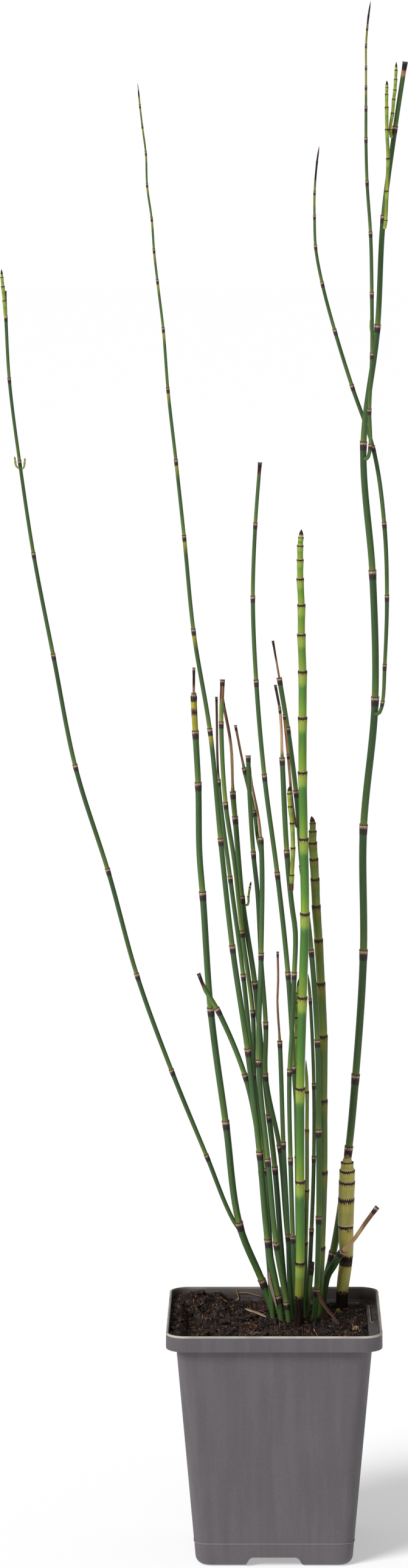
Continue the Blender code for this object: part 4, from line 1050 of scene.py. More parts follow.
RIGHT_STEMS = [
    Stem("cream_young_shoot", "shoot_cream", Skin.CREAM, CREAM_SLOT, 2.5, 1.2, ribs=22, young=True,
         flush=0.85, lightness=1.13, root_top=101.0,
         girths=[(104, 2.6), (119, 3.0), (129, 3.4), (147.5, 3.4), (152.5, 3.15), (156, 2.3)],
         route=[(29, 29, 86, B), (29.3, 29, 100, B), (31, 28, 115, J), (30.8, 27, 129, J), (31, 27, 140, J),
                (31.3, 27, 147.5, J), (31.4, 26.5, 152.5, J), (31.4, 26.5, 156, J), (31.4, 26.5, 159.5, T)],
         dry=[(1.78, 2.04, 0.97), (7.5, 8, 0.3)]),
    Stem("right_stub_stem", "stem_stub_right", Skin.OLD, GREEN, 1.55, 1.3, dry_from=3, dry_scale=1.0,
         girths=[(107, 1.6), (118, 1.55), (123.5, 1.25)],
         route=[(20.5, 28.5, 86, B), (22.5, 25, 107, B), (25.5, 23, 112.5, B), (28.5, 21, 118, J),
                (33.5, 20, 123.5, B), (39.5, 20, 132, B), (44, 20, 138, C)],
         dry=[(3.1, 4.6, 0.05), (4.6, 6, 0.45)]),
    Stem("tall_stem_right", "stem_tall_right", Skin.OLD, GREEN, 1.66, 1.02, lightness=0.88,
         girths=[(270, 1.65), (430, 1.49), (500, 1.3)],
         route=[(19.5, 34, 86, B), (22.5, 34, 104.5, B), (25, 34, 113.5, J), (32, 33, 159, J),
                (35, 33, 190, J), (38.5, 33, 243.5, J), (38.5, 33, 297.5, J), (43.5, 33, 352.5, J),
                (42.5, 33, 407, J), (38.5, 33, 462.5, J), (44.5, 33, 513, J), (47, 33, 560, J),
                (52, 33, 598.5, J), (56.5, 33, 628, C)],
         dry=[(0, 1.6, 0.85), (12.74, 12.88, 0.35), (12.88, 13, 0.9)]),
    Stem("long_branch_right", "stem_tall_right", Skin.OLD, GREEN, 0.79, 0.38, ribs=9, lightness=0.82,
         girths=[(400, 0.91), (440, 0.95), (495, 0.86), (538, 0.72), (566, 0.54)],
         route=[(43.1, 33, 347.5, B), (45.3, 29.2, 348.5, B), (46.5, 27, 352.5, J), (47.5, 27, 368, J),
                (48.5, 27, 397.5, J), (47.5, 30, 428.5, J), (43, 38, 461, J), (34, 38, 487.5, J),
                (26.5, 38, 511.5, J), (21, 38, 532, J), (18, 38, 548, J), (17.5, 38, 561, J),
                (17.5, 38, 571.5, J), (18.5, 38, 584.5, J), (19.5, 38, 592, T)],
         dry=[(12.3, 14, 0.92)], yellow=[(11.5, 12.2, 0.5)]),
    Stem("high_branch_right", "stem_tall_right", Skin.OLD, GREEN, 0.83, 0.37, ribs=9, lightness=0.85,
         girths=[(530, 0.83), (565, 0.73), (602, 0.66), (620, 0.47), (640, 0.45)],
         route=[(38.7, 33, 457.5, B), (40.3, 29.6, 458, B), (41.3, 28, 462.5, J), (41, 28, 477.5, J),
                (42, 26, 501.5, J), (42, 27, 527.5, J), (41.5, 28, 553.5, J), (40, 28, 575.5, J),
                (39.5, 28, 594, J), (39.5, 28, 607.5, J), (39.5, 28, 616.5, J), (39.5, 28, 625, J),
                (39.5, 28, 634.5, J), (40, 28, 642, J), (40.5, 28, 647, J), (41.5, 28, 654, T)],
         dry=[(13.4, 15, 0.95)], yellow=[(9.6, 13.3, 0.55)]),
    Stem("twig_right", "stem_tall_right", Skin.YELLOW, GREEN, 0.5, 0.45, ribs=6, young=True,
         route=[(44.3, 33, 511, B), (42.2, 32, 511.5, B), (41.6, 31.6, 514.5, J), (41.6, 31.5, 518, T)],
         dry=[(2.6, 3, 0.95)]),
    Stem("upper_shoot_right", "shoot_right_upper", Skin.YELLOW, YELLOW_SLOT, 0.78, 0.6, ribs=8, young=True,
         girths=[(605, 0.76)],
         route=[(47.6, 30.6, 556.5, B), (48, 29.7, 560, J), (48.5, 29.3, 572.5, J), (49, 29.2, 586.5, J),
                (48.5, 29.2, 599, J), (48.4, 29.2, 608.5, J), (48.4, 29.2, 614, J), (48.5, 29.2, 617, J),
                (48.5, 29.2, 620, T)],
         dry=[(7.3, 8, 0.95)]),
    Stem("top_shoot_right", "shoot_right_top", Skin.YELLOW, YELLOW_SLOT, 0.72, 0.5, ribs=8, young=True,
         girths=[(620, 0.7)],
         route=[(50.5, 31, 595.5, B), (50, 30.9, 599, J), (51, 30.9, 606, J), (51.5, 30.9, 612, J),
                (52, 30.9, 616, J), (52.3, 30.9, 620.5, J), (52.5, 30.9, 624.5, J), (52.6, 30.9, 628, T)],
         dry=[(6.3, 7, 0.95)]),
    Stem("far_left_shoot", "shoot_far_left", Skin.YELLOW, YELLOW_SLOT, 0.74, 0.5, ribs=8, young=True,
         girths=[(529, 0.74)],
         route=[(-115.1, 22.9, 518.5, B), (-115.6, 22.8, 525.5, J), (-116.2, 22.8, 531.5, J),
                (-116.6, 22.8, 535.5, J), (-116.8, 22.8, 539, T)],
         dry=[(3.3, 4, 0.95)]),
]


# Strands

@dataclass
class Strand:
    """A dry strand through a few points: a straw, a twig, a strip of sheath or a root.

    radius: half its width.
    flat: its thickness against its width.
    sides: points round it.
    taper: how far it narrows to its ends.
    """

    name: str
    route: list
    radius: float
    material: bpy.types.Material
    slot: str
    stands_for: tuple[str, ...] = ()
    flat: float = 0.6
    sides: int = 8
    taper: float = 0.8

    RINGS_A_STEP = 4
    WOBBLE = 0.25
    GRAIN_STEP = 1.2

    def build(self) -> bpy.types.Object:
        """Make the strand and dress it.

        Returns:
            The finished piece.
        """
        points = [Vector(p) for p in self.route]
        rows = self.RINGS_A_STEP * (len(points) - 1) + 1

        def place(column: int, row: int) -> Vector:
            """Where a point of the strand lies.

            Args:
                column: its number round the strand.
                row: its ring.

            Returns:
                The place in millimetres.
            """
            number = min(row // self.RINGS_A_STEP, len(points) - 2)
            t = (row - self.RINGS_A_STEP * number) / self.RINGS_A_STEP
            centre = points[number].lerp(points[number + 1], t)
            way = (points[number + 1] - points[number]).normalized()
            level = Vector((0.0, 0.0, 1.0)) if abs(way.z) < 0.9 else Vector((0.0, 1.0, 0.0))
            across = way.cross(level).normalized()
            up = across.cross(way)
            angle = FULL_TURN * column / self.sides
            wobble = 1.0 + self.WOBBLE * noise.noise(Vector((row * 0.7, angle, self.radius * 9.0)))
            end = 1.0 - self.taper * abs(2.0 * row / (rows - 1) - 1.0) ** 4 * 0.6
            offset = across * math.cos(angle) + up * math.sin(angle) * self.flat
            return centre + offset * self.radius * wobble * end

        def paint(column: int, row: int) -> dict[str, Any]:
            """The straightened place that the grain follows.

            Args:
                column: its number round the strand.
                row: its ring.

            Returns:
                Values by attribute name.
            """
            angle = FULL_TURN * column / self.sides
            return {"straight": Vector((math.cos(angle) * self.radius, math.sin(angle) * self.radius,
                                        row * self.GRAIN_STEP))}

        return finished_piece(sleeve(self.sides, rows, place, paint), self.name, self.material,
                              self.stands_for)


# Pot

@dataclass
class Pot:
    """The square nursery pot: foot, tapered body, stepped rim band, rubbed lip and label slot."""

    height: float = 98.5
    wall: float = 1.1
    foot_half: float = 29.8
    base_half: float = 32.6
    top_half: float = 40.8
    rim_half: float = 45.0
    ledge: float = 91.8
    base_corner: float = 6.2
    rim_corner: float = 8.0
    floor: float = 5.4
    mould_line: float = 9.5
    body_rings: tuple = (14.0, 30.0, 50.0, 70.0, 86.0)
    corner_steps: int = 12
    side_steps: int = 16
    channel_height: float = 3.7
    channel_width: float = 20.0
    channel_flare: float = 6.0
    channel_foot: float = -2.0
    channel_corner: float = 1.3
    drain_radius: float = 4.0
    drain_spacing: float = 19.0
    drain_sides: int = 32
    drain_depth: float = 12.0
    slot_left: float = 41.1
    slot_front: float = 3.5
    slot_back: float = 33.0
    slot_depth: float = 0.75
    slot_cutter: float = 3.0
    finish: PotFinish = PotFinish()
    edge_finish: PotFinish = PotFinish("polypropylene_rubbed_edge", "#8a8380", "#a19a96")

    def half_at(self, z: float) -> float:
        """Half width of the tapered outside at a height."""
        return self.base_half + (self.top_half - self.base_half) * z / self.ledge

    def levels(self) -> list[tuple[float, float, float]]:
        """Lay out the pot's section, with the small roundings that a mould leaves.

        Returns:
            Half width, corner radius and height of each level, up the outside and down the inside.
        """
        line = self.mould_line
        inner_ledge = self.ledge + self.wall
        body = [(self.half_at(z), self.base_corner + 0.9 * z / self.ledge, z) for z in self.body_rings]
        return [
            (self.foot_half, self.base_corner - 2.0, 0.0),
            (self.foot_half + 1.3, self.base_corner - 1.2, 0.25),
            (self.half_at(0.9) - 0.75, self.base_corner - 0.6, 0.9),
            (self.half_at(1.9) - 0.2, self.base_corner - 0.2, 1.9),
            (self.half_at(3.0), self.base_corner, 3.0),
            (self.half_at(line) - 0.05, self.base_corner, line - 0.30),
            (self.half_at(line) + 0.22, self.base_corner, line - 0.06),
            (self.half_at(line) + 0.22, self.base_corner, line + 0.06),
            (self.half_at(line) + 0.05, self.base_corner, line + 0.30),
            *body,
            (self.top_half, self.rim_corner - 1.0, self.ledge - 0.3),
            (self.top_half + 0.3, self.rim_corner - 1.0, self.ledge),
            (self.rim_half - 0.6, self.rim_corner, self.ledge),
            (self.rim_half - 0.18, self.rim_corner, self.ledge + 0.12),
            (self.rim_half, self.rim_corner, self.ledge + 0.5),
            (self.rim_half - 0.05, self.rim_corner, self.height - 1.2),
            (self.rim_half, self.rim_corner, self.height - 0.45),
            (self.rim_half - 0.12, self.rim_corner, self.height - 0.1),
            (self.rim_half - 0.4, self.rim_corner - 0.2, self.height),
            (self.rim_half - self.wall + 0.15, self.rim_corner - 0.6, self.height - 0.1),
            (self.rim_half - self.wall, self.rim_corner - 0.8, self.height - 0.5),
            (self.rim_half - self.wall - 0.1, self.rim_corner - 0.8, inner_ledge + 0.4),
            (self.rim_half - self.wall - 0.5, self.rim_corner - 1.0, inner_ledge),
            (self.top_half - self.wall + 0.3, self.rim_corner - 2.0, inner_ledge),
            (self.top_half - self.wall, self.rim_corner - 2.0, inner_ledge - 0.4),
            (self.half_at(self.floor) - self.wall, self.base_corner - 1.0, self.floor),
        ]

    def outline(self, half: float, corner: float, z: float) -> list[Vector]:
        """Points round a square with rounded corners at one height.

        Args:
            half: half width across the flats.
            corner: radius of the corners.
            z: height.

        Returns:
            The points, with the flat sides divided too.
        """
        points = []
        for turn in range(4):
            centre = Vector((half - corner, half - corner, z))
            arc = [centre + corner * Vector((math.cos(a), math.sin(a), 0.0)) for a in
                   (math.pi / 2 * s / self.corner_steps for s in range(self.corner_steps + 1))]
            flat_end = Vector((-(half - corner), half, z))
            side = [arc[-1].lerp(flat_end, s / self.side_steps) for s in range(1, self.side_steps)]
            for p in arc + side:
                x, y = p.x, p.y
                for _ in range(turn):
                    x, y = -y, x
                points.append(Vector((x, y, z)))
        return points

    def add_channels(self, bm: bmesh.types.BMesh) -> None:
        """Add the two crossing channels under the foot to the cutter.

        Args:
            bm: the cutter, in millimetres.
        """
        for turn in range(2):
            made = bmesh.ops.create_cube(bm, size=1.0)["verts"]
            for vert in made:
                top = vert.co.z > 0.0
                z = self.channel_height if top else self.channel_foot
                wide = self.channel_width + (0.0 if top else self.channel_flare)
                across = math.copysign(wide / 2, vert.co.x)
                along = math.copysign(1.2 * self.rim_half, vert.co.y)
                vert.co = Vector((across, along, z) if turn == 0 else (-along, across, z))
            lids = [e for e in {e for v in made for e in v.link_edges}
                    if all(abs(v.co.z - self.channel_height) < 0.01 for v in e.verts)
                    and abs((e.verts[0].co - e.verts[1].co).length - 2.4 * self.rim_half) < 0.1]
            bmesh.ops.bevel(bm, geom=lids, offset=self.channel_corner, segments=5, profile=0.5,
                            affect="EDGES", material=-1)

    def cutter(self) -> bpy.types.Object:
        """Make one shape to take away: the channels, the drain holes and the label slot.

        Returns:
            The cutter's object.
        """
        bm = bmesh.new()
        self.add_channels(bm)
        for x, y in [(0.0, 0.0)] + [(self.drain_spacing * math.cos(a), self.drain_spacing * math.sin(a))
                                    for a in (0.0, math.pi / 2, math.pi, 1.5 * math.pi)]:
            made = bmesh.ops.create_cone(bm, cap_ends=True, segments=self.drain_sides,
                                         radius1=self.drain_radius, radius2=self.drain_radius,
                                         depth=self.drain_depth)["verts"]
            bmesh.ops.translate(bm, verts=made, vec=Vector((x, y, self.channel_height)))
        # The shallow slot for a label in the right ledge
        floor = self.ledge + self.wall - self.slot_depth
        right = self.rim_half - self.wall - 0.15
        middle = Vector(((self.slot_left + right) / 2, (self.slot_front + self.slot_back) / 2,
                         floor + self.slot_cutter / 2))
        made = bmesh.ops.create_cube(bm, size=1.0)["verts"]
        bmesh.ops.scale(bm, verts=made, vec=Vector((right - self.slot_left, self.slot_back - self.slot_front,
                                                    self.slot_cutter)))
        bmesh.ops.translate(bm, verts=made, vec=middle)
        into_frame(bm)
        bmesh.ops.recalc_face_normals(bm, faces=bm.faces)
        return new_object(bm, "foot_cutter")

    def build(self) -> bpy.types.Object:
        """Make the pot and dress it.

        Returns:
            The finished piece.
        """
        levels = self.levels()
        rows = [self.outline(*level) for level in levels]
        lip = [z for _, _, z in levels].index(self.height)
        bm = sleeve(len(rows[0]), len(rows), lambda column, row: rows[row][column],
                    lambda column, row: {"inside": 1.0 if row > lip else 0.0})
        material = self.finish.material(self.height * MM, self.ledge * MM, self.mould_line * MM)
        pot = finished_piece(bm, "nursery_pot", material, ("pot",))
        cutter = self.cutter()
        cut = pot.modifiers.new("foot", "BOOLEAN")
        cut.operation, cut.solver, cut.use_self, cut.object = "DIFFERENCE", "EXACT", True, cutter
        graph = bpy.context.evaluated_depsgraph_get()
        shaped = bpy.data.meshes.new_from_object(pot.evaluated_get(graph))
        pot.modifiers.clear()
        bpy.data.objects.remove(cutter, do_unlink=True)
        fresh = bmesh.new()
        fresh.from_mesh(shaped)
        bmesh.ops.remove_doubles(fresh, verts=fresh.verts, dist=1e-6)
        set_edges(fresh, SMOOTH_ANGLE)
        # The slot's own corners get the inside's dust and soil stain: partly dirt, and partly painted shade
        # in the shallow recess
        inside = fresh.verts.layers.float.get("inside")
        for vert in fresh.verts:
            x, y, z = vert.co / MM
            if (self.slot_left - 0.1 < x - PLANT_SHIFT_X < self.rim_half - self.wall
                    and self.slot_front - 0.1 < y < self.slot_back + 0.1 and z > self.ledge + 0.1):
                vert[inside] = 1.0
        fresh.to_mesh(pot.data)
        fresh.free()
        self.build_slot_frame()
        return pot

    def build_slot_frame(self) -> bpy.types.Object:
        """Make the thin raised edge round the label slot.

        Returns:
            The finished piece.
        """
        left, front, back = self.slot_left - 0.15, self.slot_front, self.slot_back
        top = self.ledge + self.wall
        material = self.edge_finish.material(self.height * MM, self.ledge * MM, self.mould_line * MM)
        route = [(left, back + 0.5, top), (left, front + 1.4, top), (left + 0.5, front - 0.2, top),
                 (left + 1.0, front - 0.1, top), (self.rim_half - self.wall - 0.2, front + 2.4, top + 0.1)]
        return Strand("label_slot_edge", route, 0.2, material, "pot_plastic", flat=1.0, taper=0.3).build()


# Soil

@dataclass
class Soil:
    """The potting soil: a rough crumbled top, loose crumbs, and root fibres.

    mounds: how far each rises, its middle across and along, and its reach across and along.
    clods, lumps, grit: millimetres that the rough top rises, cells per millimetre and a seed.
    bare_right, bare_back: where the pot's ledge stays clear of soil.
    """

    level: float = 91.6
    bottom: float = 84.0
    half: float = 39.3
    corner: float = 5.6
    ledge: float = 92.95
    ledge_half: float = 43.7
    ledge_corner: float = 7.0
    bare_right: float = 34.0
    bare_back: float = 34.0
    bare_from: float = -23.0
    cells: int = 190
    mounds: tuple = ((6.0, -31.0, 34.0, 12.0, 14.0), (-3.0, -40.0, 12.0, 5.0, 12.0),
                     (1.2, 12.0, 14.0, 16.0, 18.0))
    crumb_height: float = 1.1
    crumbs_per_mm: float = 0.13
    clods: tuple = (1.9, 0.2, 11.0)
    lumps: tuple = (2.0, 0.55, 17.0)
    grit: tuple = (0.9, 1.4, 23.0)
    spill: float = 2.7
    spill_width: float = 2.5
    seed: int = 7
    crumbs: int = 900
    crumb_sizes: tuple = (0.35, 1.15)
    crumb_tints: tuple = (-0.3, -0.1, 0.0, 0.15, 0.35)
    pale_crumb: tuple = (0.04, 2.6)
    fibres: int = 320
    fibre_steps: int = 6
    fibre_tints: tuple = (0.0, 0.5, 1.5, 3.0, 6.0, 10.0)

    def plain_height(self, x: float, y: float) -> float:
        """The smooth top that the solid follows.

        Args:
            x: place across the pot.
            y: place along it.

        Returns:
            The height in millimetres.
        """
        height = self.level
        for rise, middle_x, middle_y, spread_x, spread_y in self.mounds:
            height += rise * math.exp(-((x - middle_x) / spread_x) ** 2 - ((y - middle_y) / spread_y) ** 2)
        return height + self.crumb_height * noise.noise(
            Vector((x * self.crumbs_per_mm, y * self.crumbs_per_mm, 3.0)))

    def bare(self, x: float, y: float) -> bool:
        """Whether the pot's ledge stays clear of soil there: along the right, and most of the back."""
        wander = 2.0 * noise.noise(Vector((x * 0.25, y * 0.25, 31.0)))
        return x > self.bare_right or (y > self.bare_back and x > self.bare_from + wander)

    def height(self, x: float, y: float) -> float:
        """The rough top that shows, with clods, lumps and grit, and soil spilt over the pot's ledge.

        Args:
            x: place across the pot.
            y: place along it.

        Returns:
            The height in millimetres.
        """
        clod, lump, grit = (noise.noise(Vector((x * cells, y * cells, seed)))
                            for _, cells, seed in (self.clods, self.lumps, self.grit))
        top = (self.plain_height(x, y) + self.clods[0] * clod + self.lumps[0] * abs(lump)
               + self.grit[0] * grit)
        out = max(abs(x), abs(y)) - self.half + self.spill_width
        if out > 0.0 and not self.bare(x, y):
            spill = self.ledge + self.spill + 1.6 * clod + 0.8 * lump + 0.3 * grit
            share = min(out / self.spill_width, 1.0)
            top = top * (1.0 - share) + max(spill, self.ledge + 0.1) * share
        return top

    def inside(self, x: float, y: float, half: float = 0.0, corner: float = 0.0) -> tuple[float, float]:
        """The nearest point inside a rounded square.

        Args:
            x: place across the pot.
            y: place along it.
            half: half the square's width, or zero for the soil under the ledge.
            corner: radius of its corners.

        Returns:
            The point, moved in where it was outside.
        """
        half, corner = (half, corner) if half else (self.half, self.corner)
        flat = half - corner
        cx, cy = max(-flat, min(flat, x)), max(-flat, min(flat, y))
        dx, dy = x - cx, y - cy
        out = math.hypot(dx, dy)
        if out > corner:
            dx, dy = dx * corner / out, dy * corner / out
        return cx + dx, cy + dy

    def on_soil(self, x: float, y: float, margin: float) -> tuple[float, float]:
        """The nearest point that is on the soil, and clear of its edge.

        Args:
            x: place across the pot.
            y: place along it.
            margin: how far it keeps from the edge.

        Returns:
            The point, moved in where it was off the soil.
        """
        x, y = self.inside(x, y, self.ledge_half - margin, self.ledge_corner - margin)
        if self.bare(x, y):
            x, y = self.inside(x, y, self.half - margin, self.corner - margin)
        return x, y

    def build_top(self) -> bpy.types.Object:
        """Make the soil's rough block, with the step that rests on the pot's ledge.

        Returns:
            The finished piece.
        """
        bm = bmesh.new()
        bmesh.ops.create_grid(bm, x_segments=self.cells, y_segments=self.cells, size=self.ledge_half)
        for vert in bm.verts:
            x, y = vert.co.x, vert.co.y
            if self.bare(x, y):
                x, y = self.inside(x, y)
            else:
                x, y = self.inside(x, y, self.ledge_half, self.ledge_corner)
            vert.co = Vector((x, y, self.height(x, y)))
        bmesh.ops.remove_doubles(bm, verts=bm.verts, dist=1e-3)
        # Cells folded flat where the bare ledge begins would leave an edge with a third face
        folded = {min(e.link_faces, key=lambda face: face.calc_area())
                  for e in bm.edges if len(e.link_faces) > 2}
        bmesh.ops.delete(bm, geom=list(folded), context="FACES")
        for height, narrow in ((self.ledge, False), (self.ledge, True), (self.bottom, True)):
            border = [e for e in bm.edges if e.is_boundary]
            skirt = bmesh.ops.extrude_edge_only(bm, edges=border)["geom"]
            for vert in (g for g in skirt if isinstance(g, bmesh.types.BMVert)):
                x, y = vert.co.x, vert.co.y
                if narrow:
                    x, y = self.inside(x, y)
                vert.co = Vector((x, y, min(vert.co.z, height)))
            bmesh.ops.remove_doubles(bm, verts=bm.verts, dist=1e-3)
        bmesh.ops.dissolve_degenerate(bm, edges=bm.edges, dist=1e-4)
        bmesh.ops.holes_fill(bm, edges=[e for e in bm.edges if e.is_boundary], sides=0)
        bmesh.ops.recalc_face_normals(bm, faces=bm.faces)
        into_frame(bm)
        return finished_piece(bm, "potting_soil", EarthFinish().material(), ("soil",))

    def build_crumbs(self) -> bpy.types.Object:
        """Make the loose crumbs and clods on the soil.

        Returns:
            The finished piece.
        """
        random.seed(self.seed)
        bm = bmesh.new()
        shade = bm.verts.layers.float.new("shade")
        smallest, spread = self.crumb_sizes
        pale_share, pale_tint = self.pale_crumb
        for _ in range(self.crumbs):
            x, y = self.on_soil(random.uniform(-self.ledge_half, self.ledge_half),
                                random.uniform(-self.ledge_half, self.ledge_half), 1.5)
            size = smallest + spread * random.random() ** 3
            made = bmesh.ops.create_icosphere(bm, subdivisions=2 if size > 0.8 else 1, radius=size)["verts"]
            spin = Vector((random.random(), random.random(), random.random())) * 9.0
            flat = random.uniform(0.5, 0.9)
            tint = random.choice(self.crumb_tints) if random.random() > pale_share else pale_tint
            z = self.height(x, y) + 0.25 * size
            for vert in made:
                bump = 1.0 + 0.35 * noise.noise(vert.co / size * 1.3 + spin)
                vert.co = Vector((vert.co.x * bump * 1.15, vert.co.y * bump, vert.co.z * bump * flat))
                vert.co += Vector((x, y, z))
                vert[shade] = tint
        into_frame(bm)
        return finished_piece(bm, "soil_crumbs", EarthFinish().material())

    def build_fibres(self) -> bpy.types.Object:
        """Make the thin bent root fibres and peat threads that stick out of the soil.

        Returns:
            The finished piece.
        """
        random.seed(self.seed + 1)
        bm = bmesh.new()
        for _ in range(self.fibres):
            self.grow_fibre(bm, *self.on_soil(random.uniform(-self.ledge_half, self.ledge_half),
                                              random.uniform(-self.ledge_half, self.ledge_half), 2.5))
        bmesh.ops.recalc_face_normals(bm, faces=bm.faces)
        return finished_piece(bm, "soil_fibres", EarthFinish().material())

    def grow_fibre(self, bm: bmesh.types.BMesh, x: float, y: float) -> None:
        """One fibre that starts at a place on the soil and bends away over it.

        Args:
            bm: the bmesh that gets it.
            x: where it starts across the pot, in millimetres.
            y: where it starts along the pot.
        """
        turn, length = random.uniform(0.0, FULL_TURN), random.uniform(2.0, 9.0)
        radius, arch, bend = random.uniform(0.07, 0.2), random.uniform(0.2, 1.8), random.uniform(-1.3, 1.3)
        tint = random.choice(self.fibre_tints)
        middles, ways = [], []
        spot = Vector((x, y, 0.0))
        for step in range(self.fibre_steps):
            t = step / (self.fibre_steps - 1)
            way = Vector((math.cos(turn + bend * t), math.sin(turn + bend * t), 0.0))
            px, py = self.on_soil(spot.x, spot.y, 0.6)
            middles.append(Vector((px, py, self.height(px, py) + 0.15 + arch * math.sin(math.pi * t))))
            ways.append(way)
            spot = spot + way * length / (self.fibre_steps - 1)

        def place(column: int, row: int) -> Vector:
            """Where a point of the fibre lies.

            Args:
                column: its number round the fibre.
                row: its ring.

            Returns:
                The place in millimetres.
            """
            across = Vector((-ways[row].y, ways[row].x, 0.0))
            angle = math.pi / 2 * column
            return middles[row] + (across * math.cos(angle) + Vector((0.0, 0.0, math.sin(angle)))) * radius

        grow_sleeve(bm, 4, self.fibre_steps, place, lambda column, row: {"shade": tint})


# Litter

@dataclass
class Litter:
    """The straws, the twig, the strips and the roots that lie on the soil and hang on the stems.

    soil: the soil that they lie on.
    wall_roots: dry roots that cling to the inside of the back wall.
    tangles: the middle, the reach and the finish of each tangle of root.
    """

    soil: Soil
    wall_roots: tuple = (
        ((-16.3, 43.3, 97.6), (-15.9, 43.4, 96.0), (-15.3, 43.4, 94.2)),
        ((-15.6, 43.4, 96.1), (-11.2, 43.5, 96.0), (-5.2, 43.4, 94.5)),
        ((-15.3, 43.4, 94.2), (-15.6, 42.6, 93.3), (-17.0, 41.0, 93.0)))
    tangles: tuple = (((27.0, 23.6, 92.2), 1.7, YELLOW_ROOT), ((34.4, -6.5, 92.2), 1.3, ROOT_FIBRE))
    threads: int = 9
    seed: int = 50
    over_solid: float = 1.2

    def lying(self, start: tuple, end: tuple, radius: float) -> list:
        """Lay a straw on the soil's solid top.

        Args:
            start: where it starts across and along the pot.
            end: where it ends.
            radius: half its thickness.

        Returns:
            Points along it.
        """
        spots = [Vector(start).lerp(Vector(end), step / 4) for step in range(5)]
        return [(s.x, s.y, self.soil.plain_height(s.x, s.y) + radius + self.over_solid) for s in spots]

    def build(self) -> None:
        """Make every loose strand."""
        Strand("tan_straw", self.lying((-12.2, 23.3), (-3.4, 10.4), 0.7), 0.75, TAN_STRAW.material(),
               TAN_SLOT, ("straw_tan",)).build()
        Strand("red_twig", self.lying((-6.6, 20.3), (-2.2, 23.6), 0.45), 0.4, RED_TWIG.material(),
               BROWN_SLOT, ("twig_red",), flat=0.9).build()
        Strand("slender_stem_strip", [(-2.4, 5.0, 114.0), (-1.9, 4.6, 110.5), (1.0, 2.8, 99.5)], 0.6,
               GREY_STRAW.material(), TAN_SLOT, ("strip_on_slender",), flat=0.35).build()
        Strand("front_stem_strip", [(18.4, 3.4, 105.5), (21.5, -0.6, 100.5), (27.5, -7.5, 94.6)], 1.05,
               BROWN_STRAW.material(), BROWN_SLOT, ("strip_on_front",), flat=0.35).build()
        for number, route in enumerate(self.wall_roots):
            Strand(f"wall_root_{number + 1}", route, 0.3, ROOT_FIBRE.material(), "soil", flat=0.8).build()
        for number, (middle, size, finish) in enumerate(self.tangles):
            draw = random.Random(self.seed + number)
            for thread in range(self.threads):
                start = Vector(middle) + Vector((draw.uniform(-size, size), draw.uniform(-size, size), 0.0))
                end = Vector(middle) + Vector((draw.uniform(-size, size), draw.uniform(-size, size), 0.0))
                bow = start.lerp(end, 0.5) + Vector((0.0, 0.0, draw.uniform(0.7, 1.1) * size))
                Strand(f"root_tangle_{number + 1}_{thread + 1}", [start, bow, end], draw.uniform(0.22, 0.4),
                       finish.material(), "soil", flat=0.8).build()


# Studio

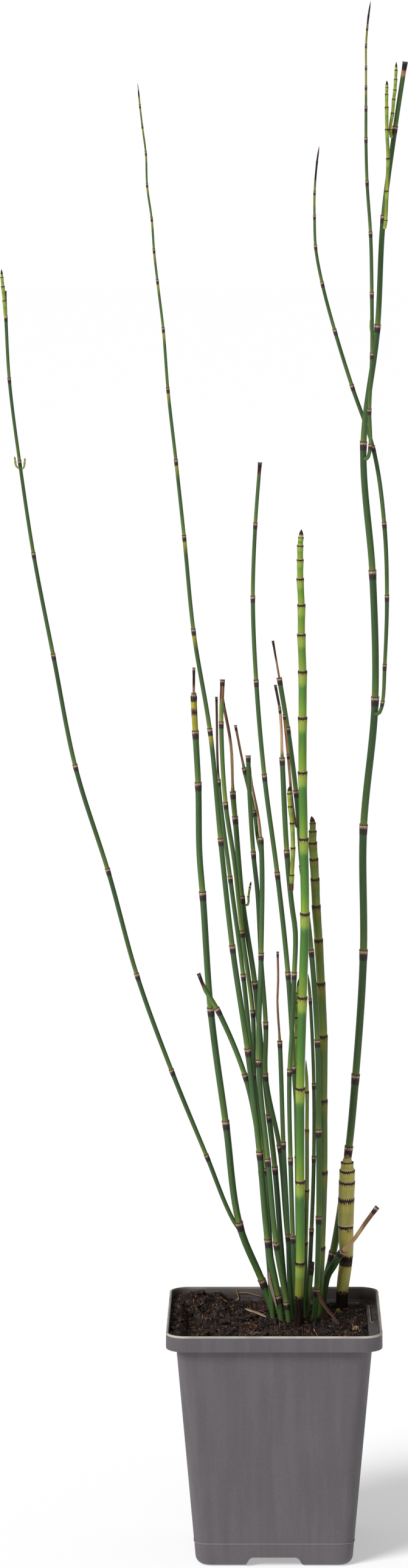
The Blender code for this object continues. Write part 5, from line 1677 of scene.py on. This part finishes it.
@dataclass
class Studio:
    """Pale floor, soft lights and the camera at the photograph's place.

    focal_pixels, long_side, short_side, axis_across and axis_down are pixels of the photograph.
    """

    camera_distance: float = 1916.0
    camera_height: float = 549.5
    camera_side: float = -2.27
    sensor_width: float = 36.0
    focal_pixels: float = 7442.0
    long_side: float = 2576.0
    short_side: float = 671.0
    axis_across: float = 442.0
    axis_down: float = 402.0
    floor_reach: float = 60.0
    floor_drop: float = 0.0002
    floor_colour: str = "#f7f7f7"
    floor_glow: float = 0.36
    key_from: tuple = (-0.62, -0.62, 0.6)
    key_strength: float = 2.5
    key_spread: float = math.radians(25.0)
    sky_strength: float = 0.25

    def build_camera(self) -> None:
        """Place the camera level in front of the pot, with the frame's own shift."""
        data = bpy.data.cameras.new("camera")
        data.sensor_width = self.sensor_width
        data.lens = self.focal_pixels / self.long_side * data.sensor_width
        data.shift_x = (self.short_side / 2 - self.axis_across) / self.long_side
        data.shift_y = (self.axis_down - self.long_side / 2) / self.long_side
        data.clip_start, data.clip_end = 0.05, 200.0
        camera = bpy.data.objects.new("camera", data)
        camera.location = Vector((self.camera_side + PLANT_SHIFT_X, -self.camera_distance,
                                  self.camera_height)) * MM
        camera.rotation_euler = (math.pi / 2, 0.0, 0.0)
        bpy.context.scene.collection.objects.link(camera)
        bpy.context.scene.camera = camera

    def build_floor(self) -> None:
        """A wide plain pale floor."""
        bm = bmesh.new()
        bmesh.ops.create_circle(bm, cap_ends=True, segments=64, radius=self.floor_reach)
        bmesh.ops.translate(bm, verts=bm.verts, vec=Vector((0.0, 0.0, -self.floor_drop)))
        floor = new_object(bm, "floor")
        m = new_material("studio_floor_white")
        surface = add_node(m, "BsdfPrincipled", {
            "Base Color": linear(self.floor_colour), "Roughness": 0.9, "Specular IOR Level": 0.1,
            "Emission Color": linear("#ffffff"), "Emission Strength": self.floor_glow})
        add_node(m, "OutputMaterial", (surface,))
        floor.data.materials.append(m)

    def build_lights(self) -> None:
        """A soft sun from the upper left, and a white sky that lights the plant less than it shows."""
        data = bpy.data.lights.new("key", "SUN")
        data.energy, data.angle = self.key_strength, self.key_spread
        key = bpy.data.objects.new("key", data)
        key.rotation_euler = Vector(self.key_from).to_track_quat("Z", "Y").to_euler()
        bpy.context.scene.collection.objects.link(key)
        world = bpy.data.worlds.new("studio")
        world.use_nodes = True
        background = world.node_tree.nodes["Background"]
        background.inputs[0].default_value = (1.0, 1.0, 1.0, 1.0)
        seen = add_node(world, "LightPath", output="Is Camera Ray")
        strength = add_node(world, "MapRange", {0: seen, 3: self.sky_strength, 4: 1.0})
        world.node_tree.links.new(strength, background.inputs[1])
        bpy.context.scene.world = world
        bpy.context.scene.view_settings.view_transform = "Standard"
        bpy.context.scene.view_settings.look = "None"

    def build(self) -> None:
        """Make the whole studio."""
        self.build_camera()
        self.build_floor()
        self.build_lights()


def main() -> None:
    """Build the plant, its pot and its soil, and then the studio."""
    logging.basicConfig(level=logging.INFO, format="%(message)s")
    Pot().build()
    soil = Soil()
    soil.build_top()
    soil.build_crumbs()
    soil.build_fibres()
    for stem in LEFT_STEMS + MIDDLE_STEMS + RIGHT_STEMS:
        stem.build()
    Litter(soil).build()
    Studio().build()


if __name__ == "__main__":
    main()
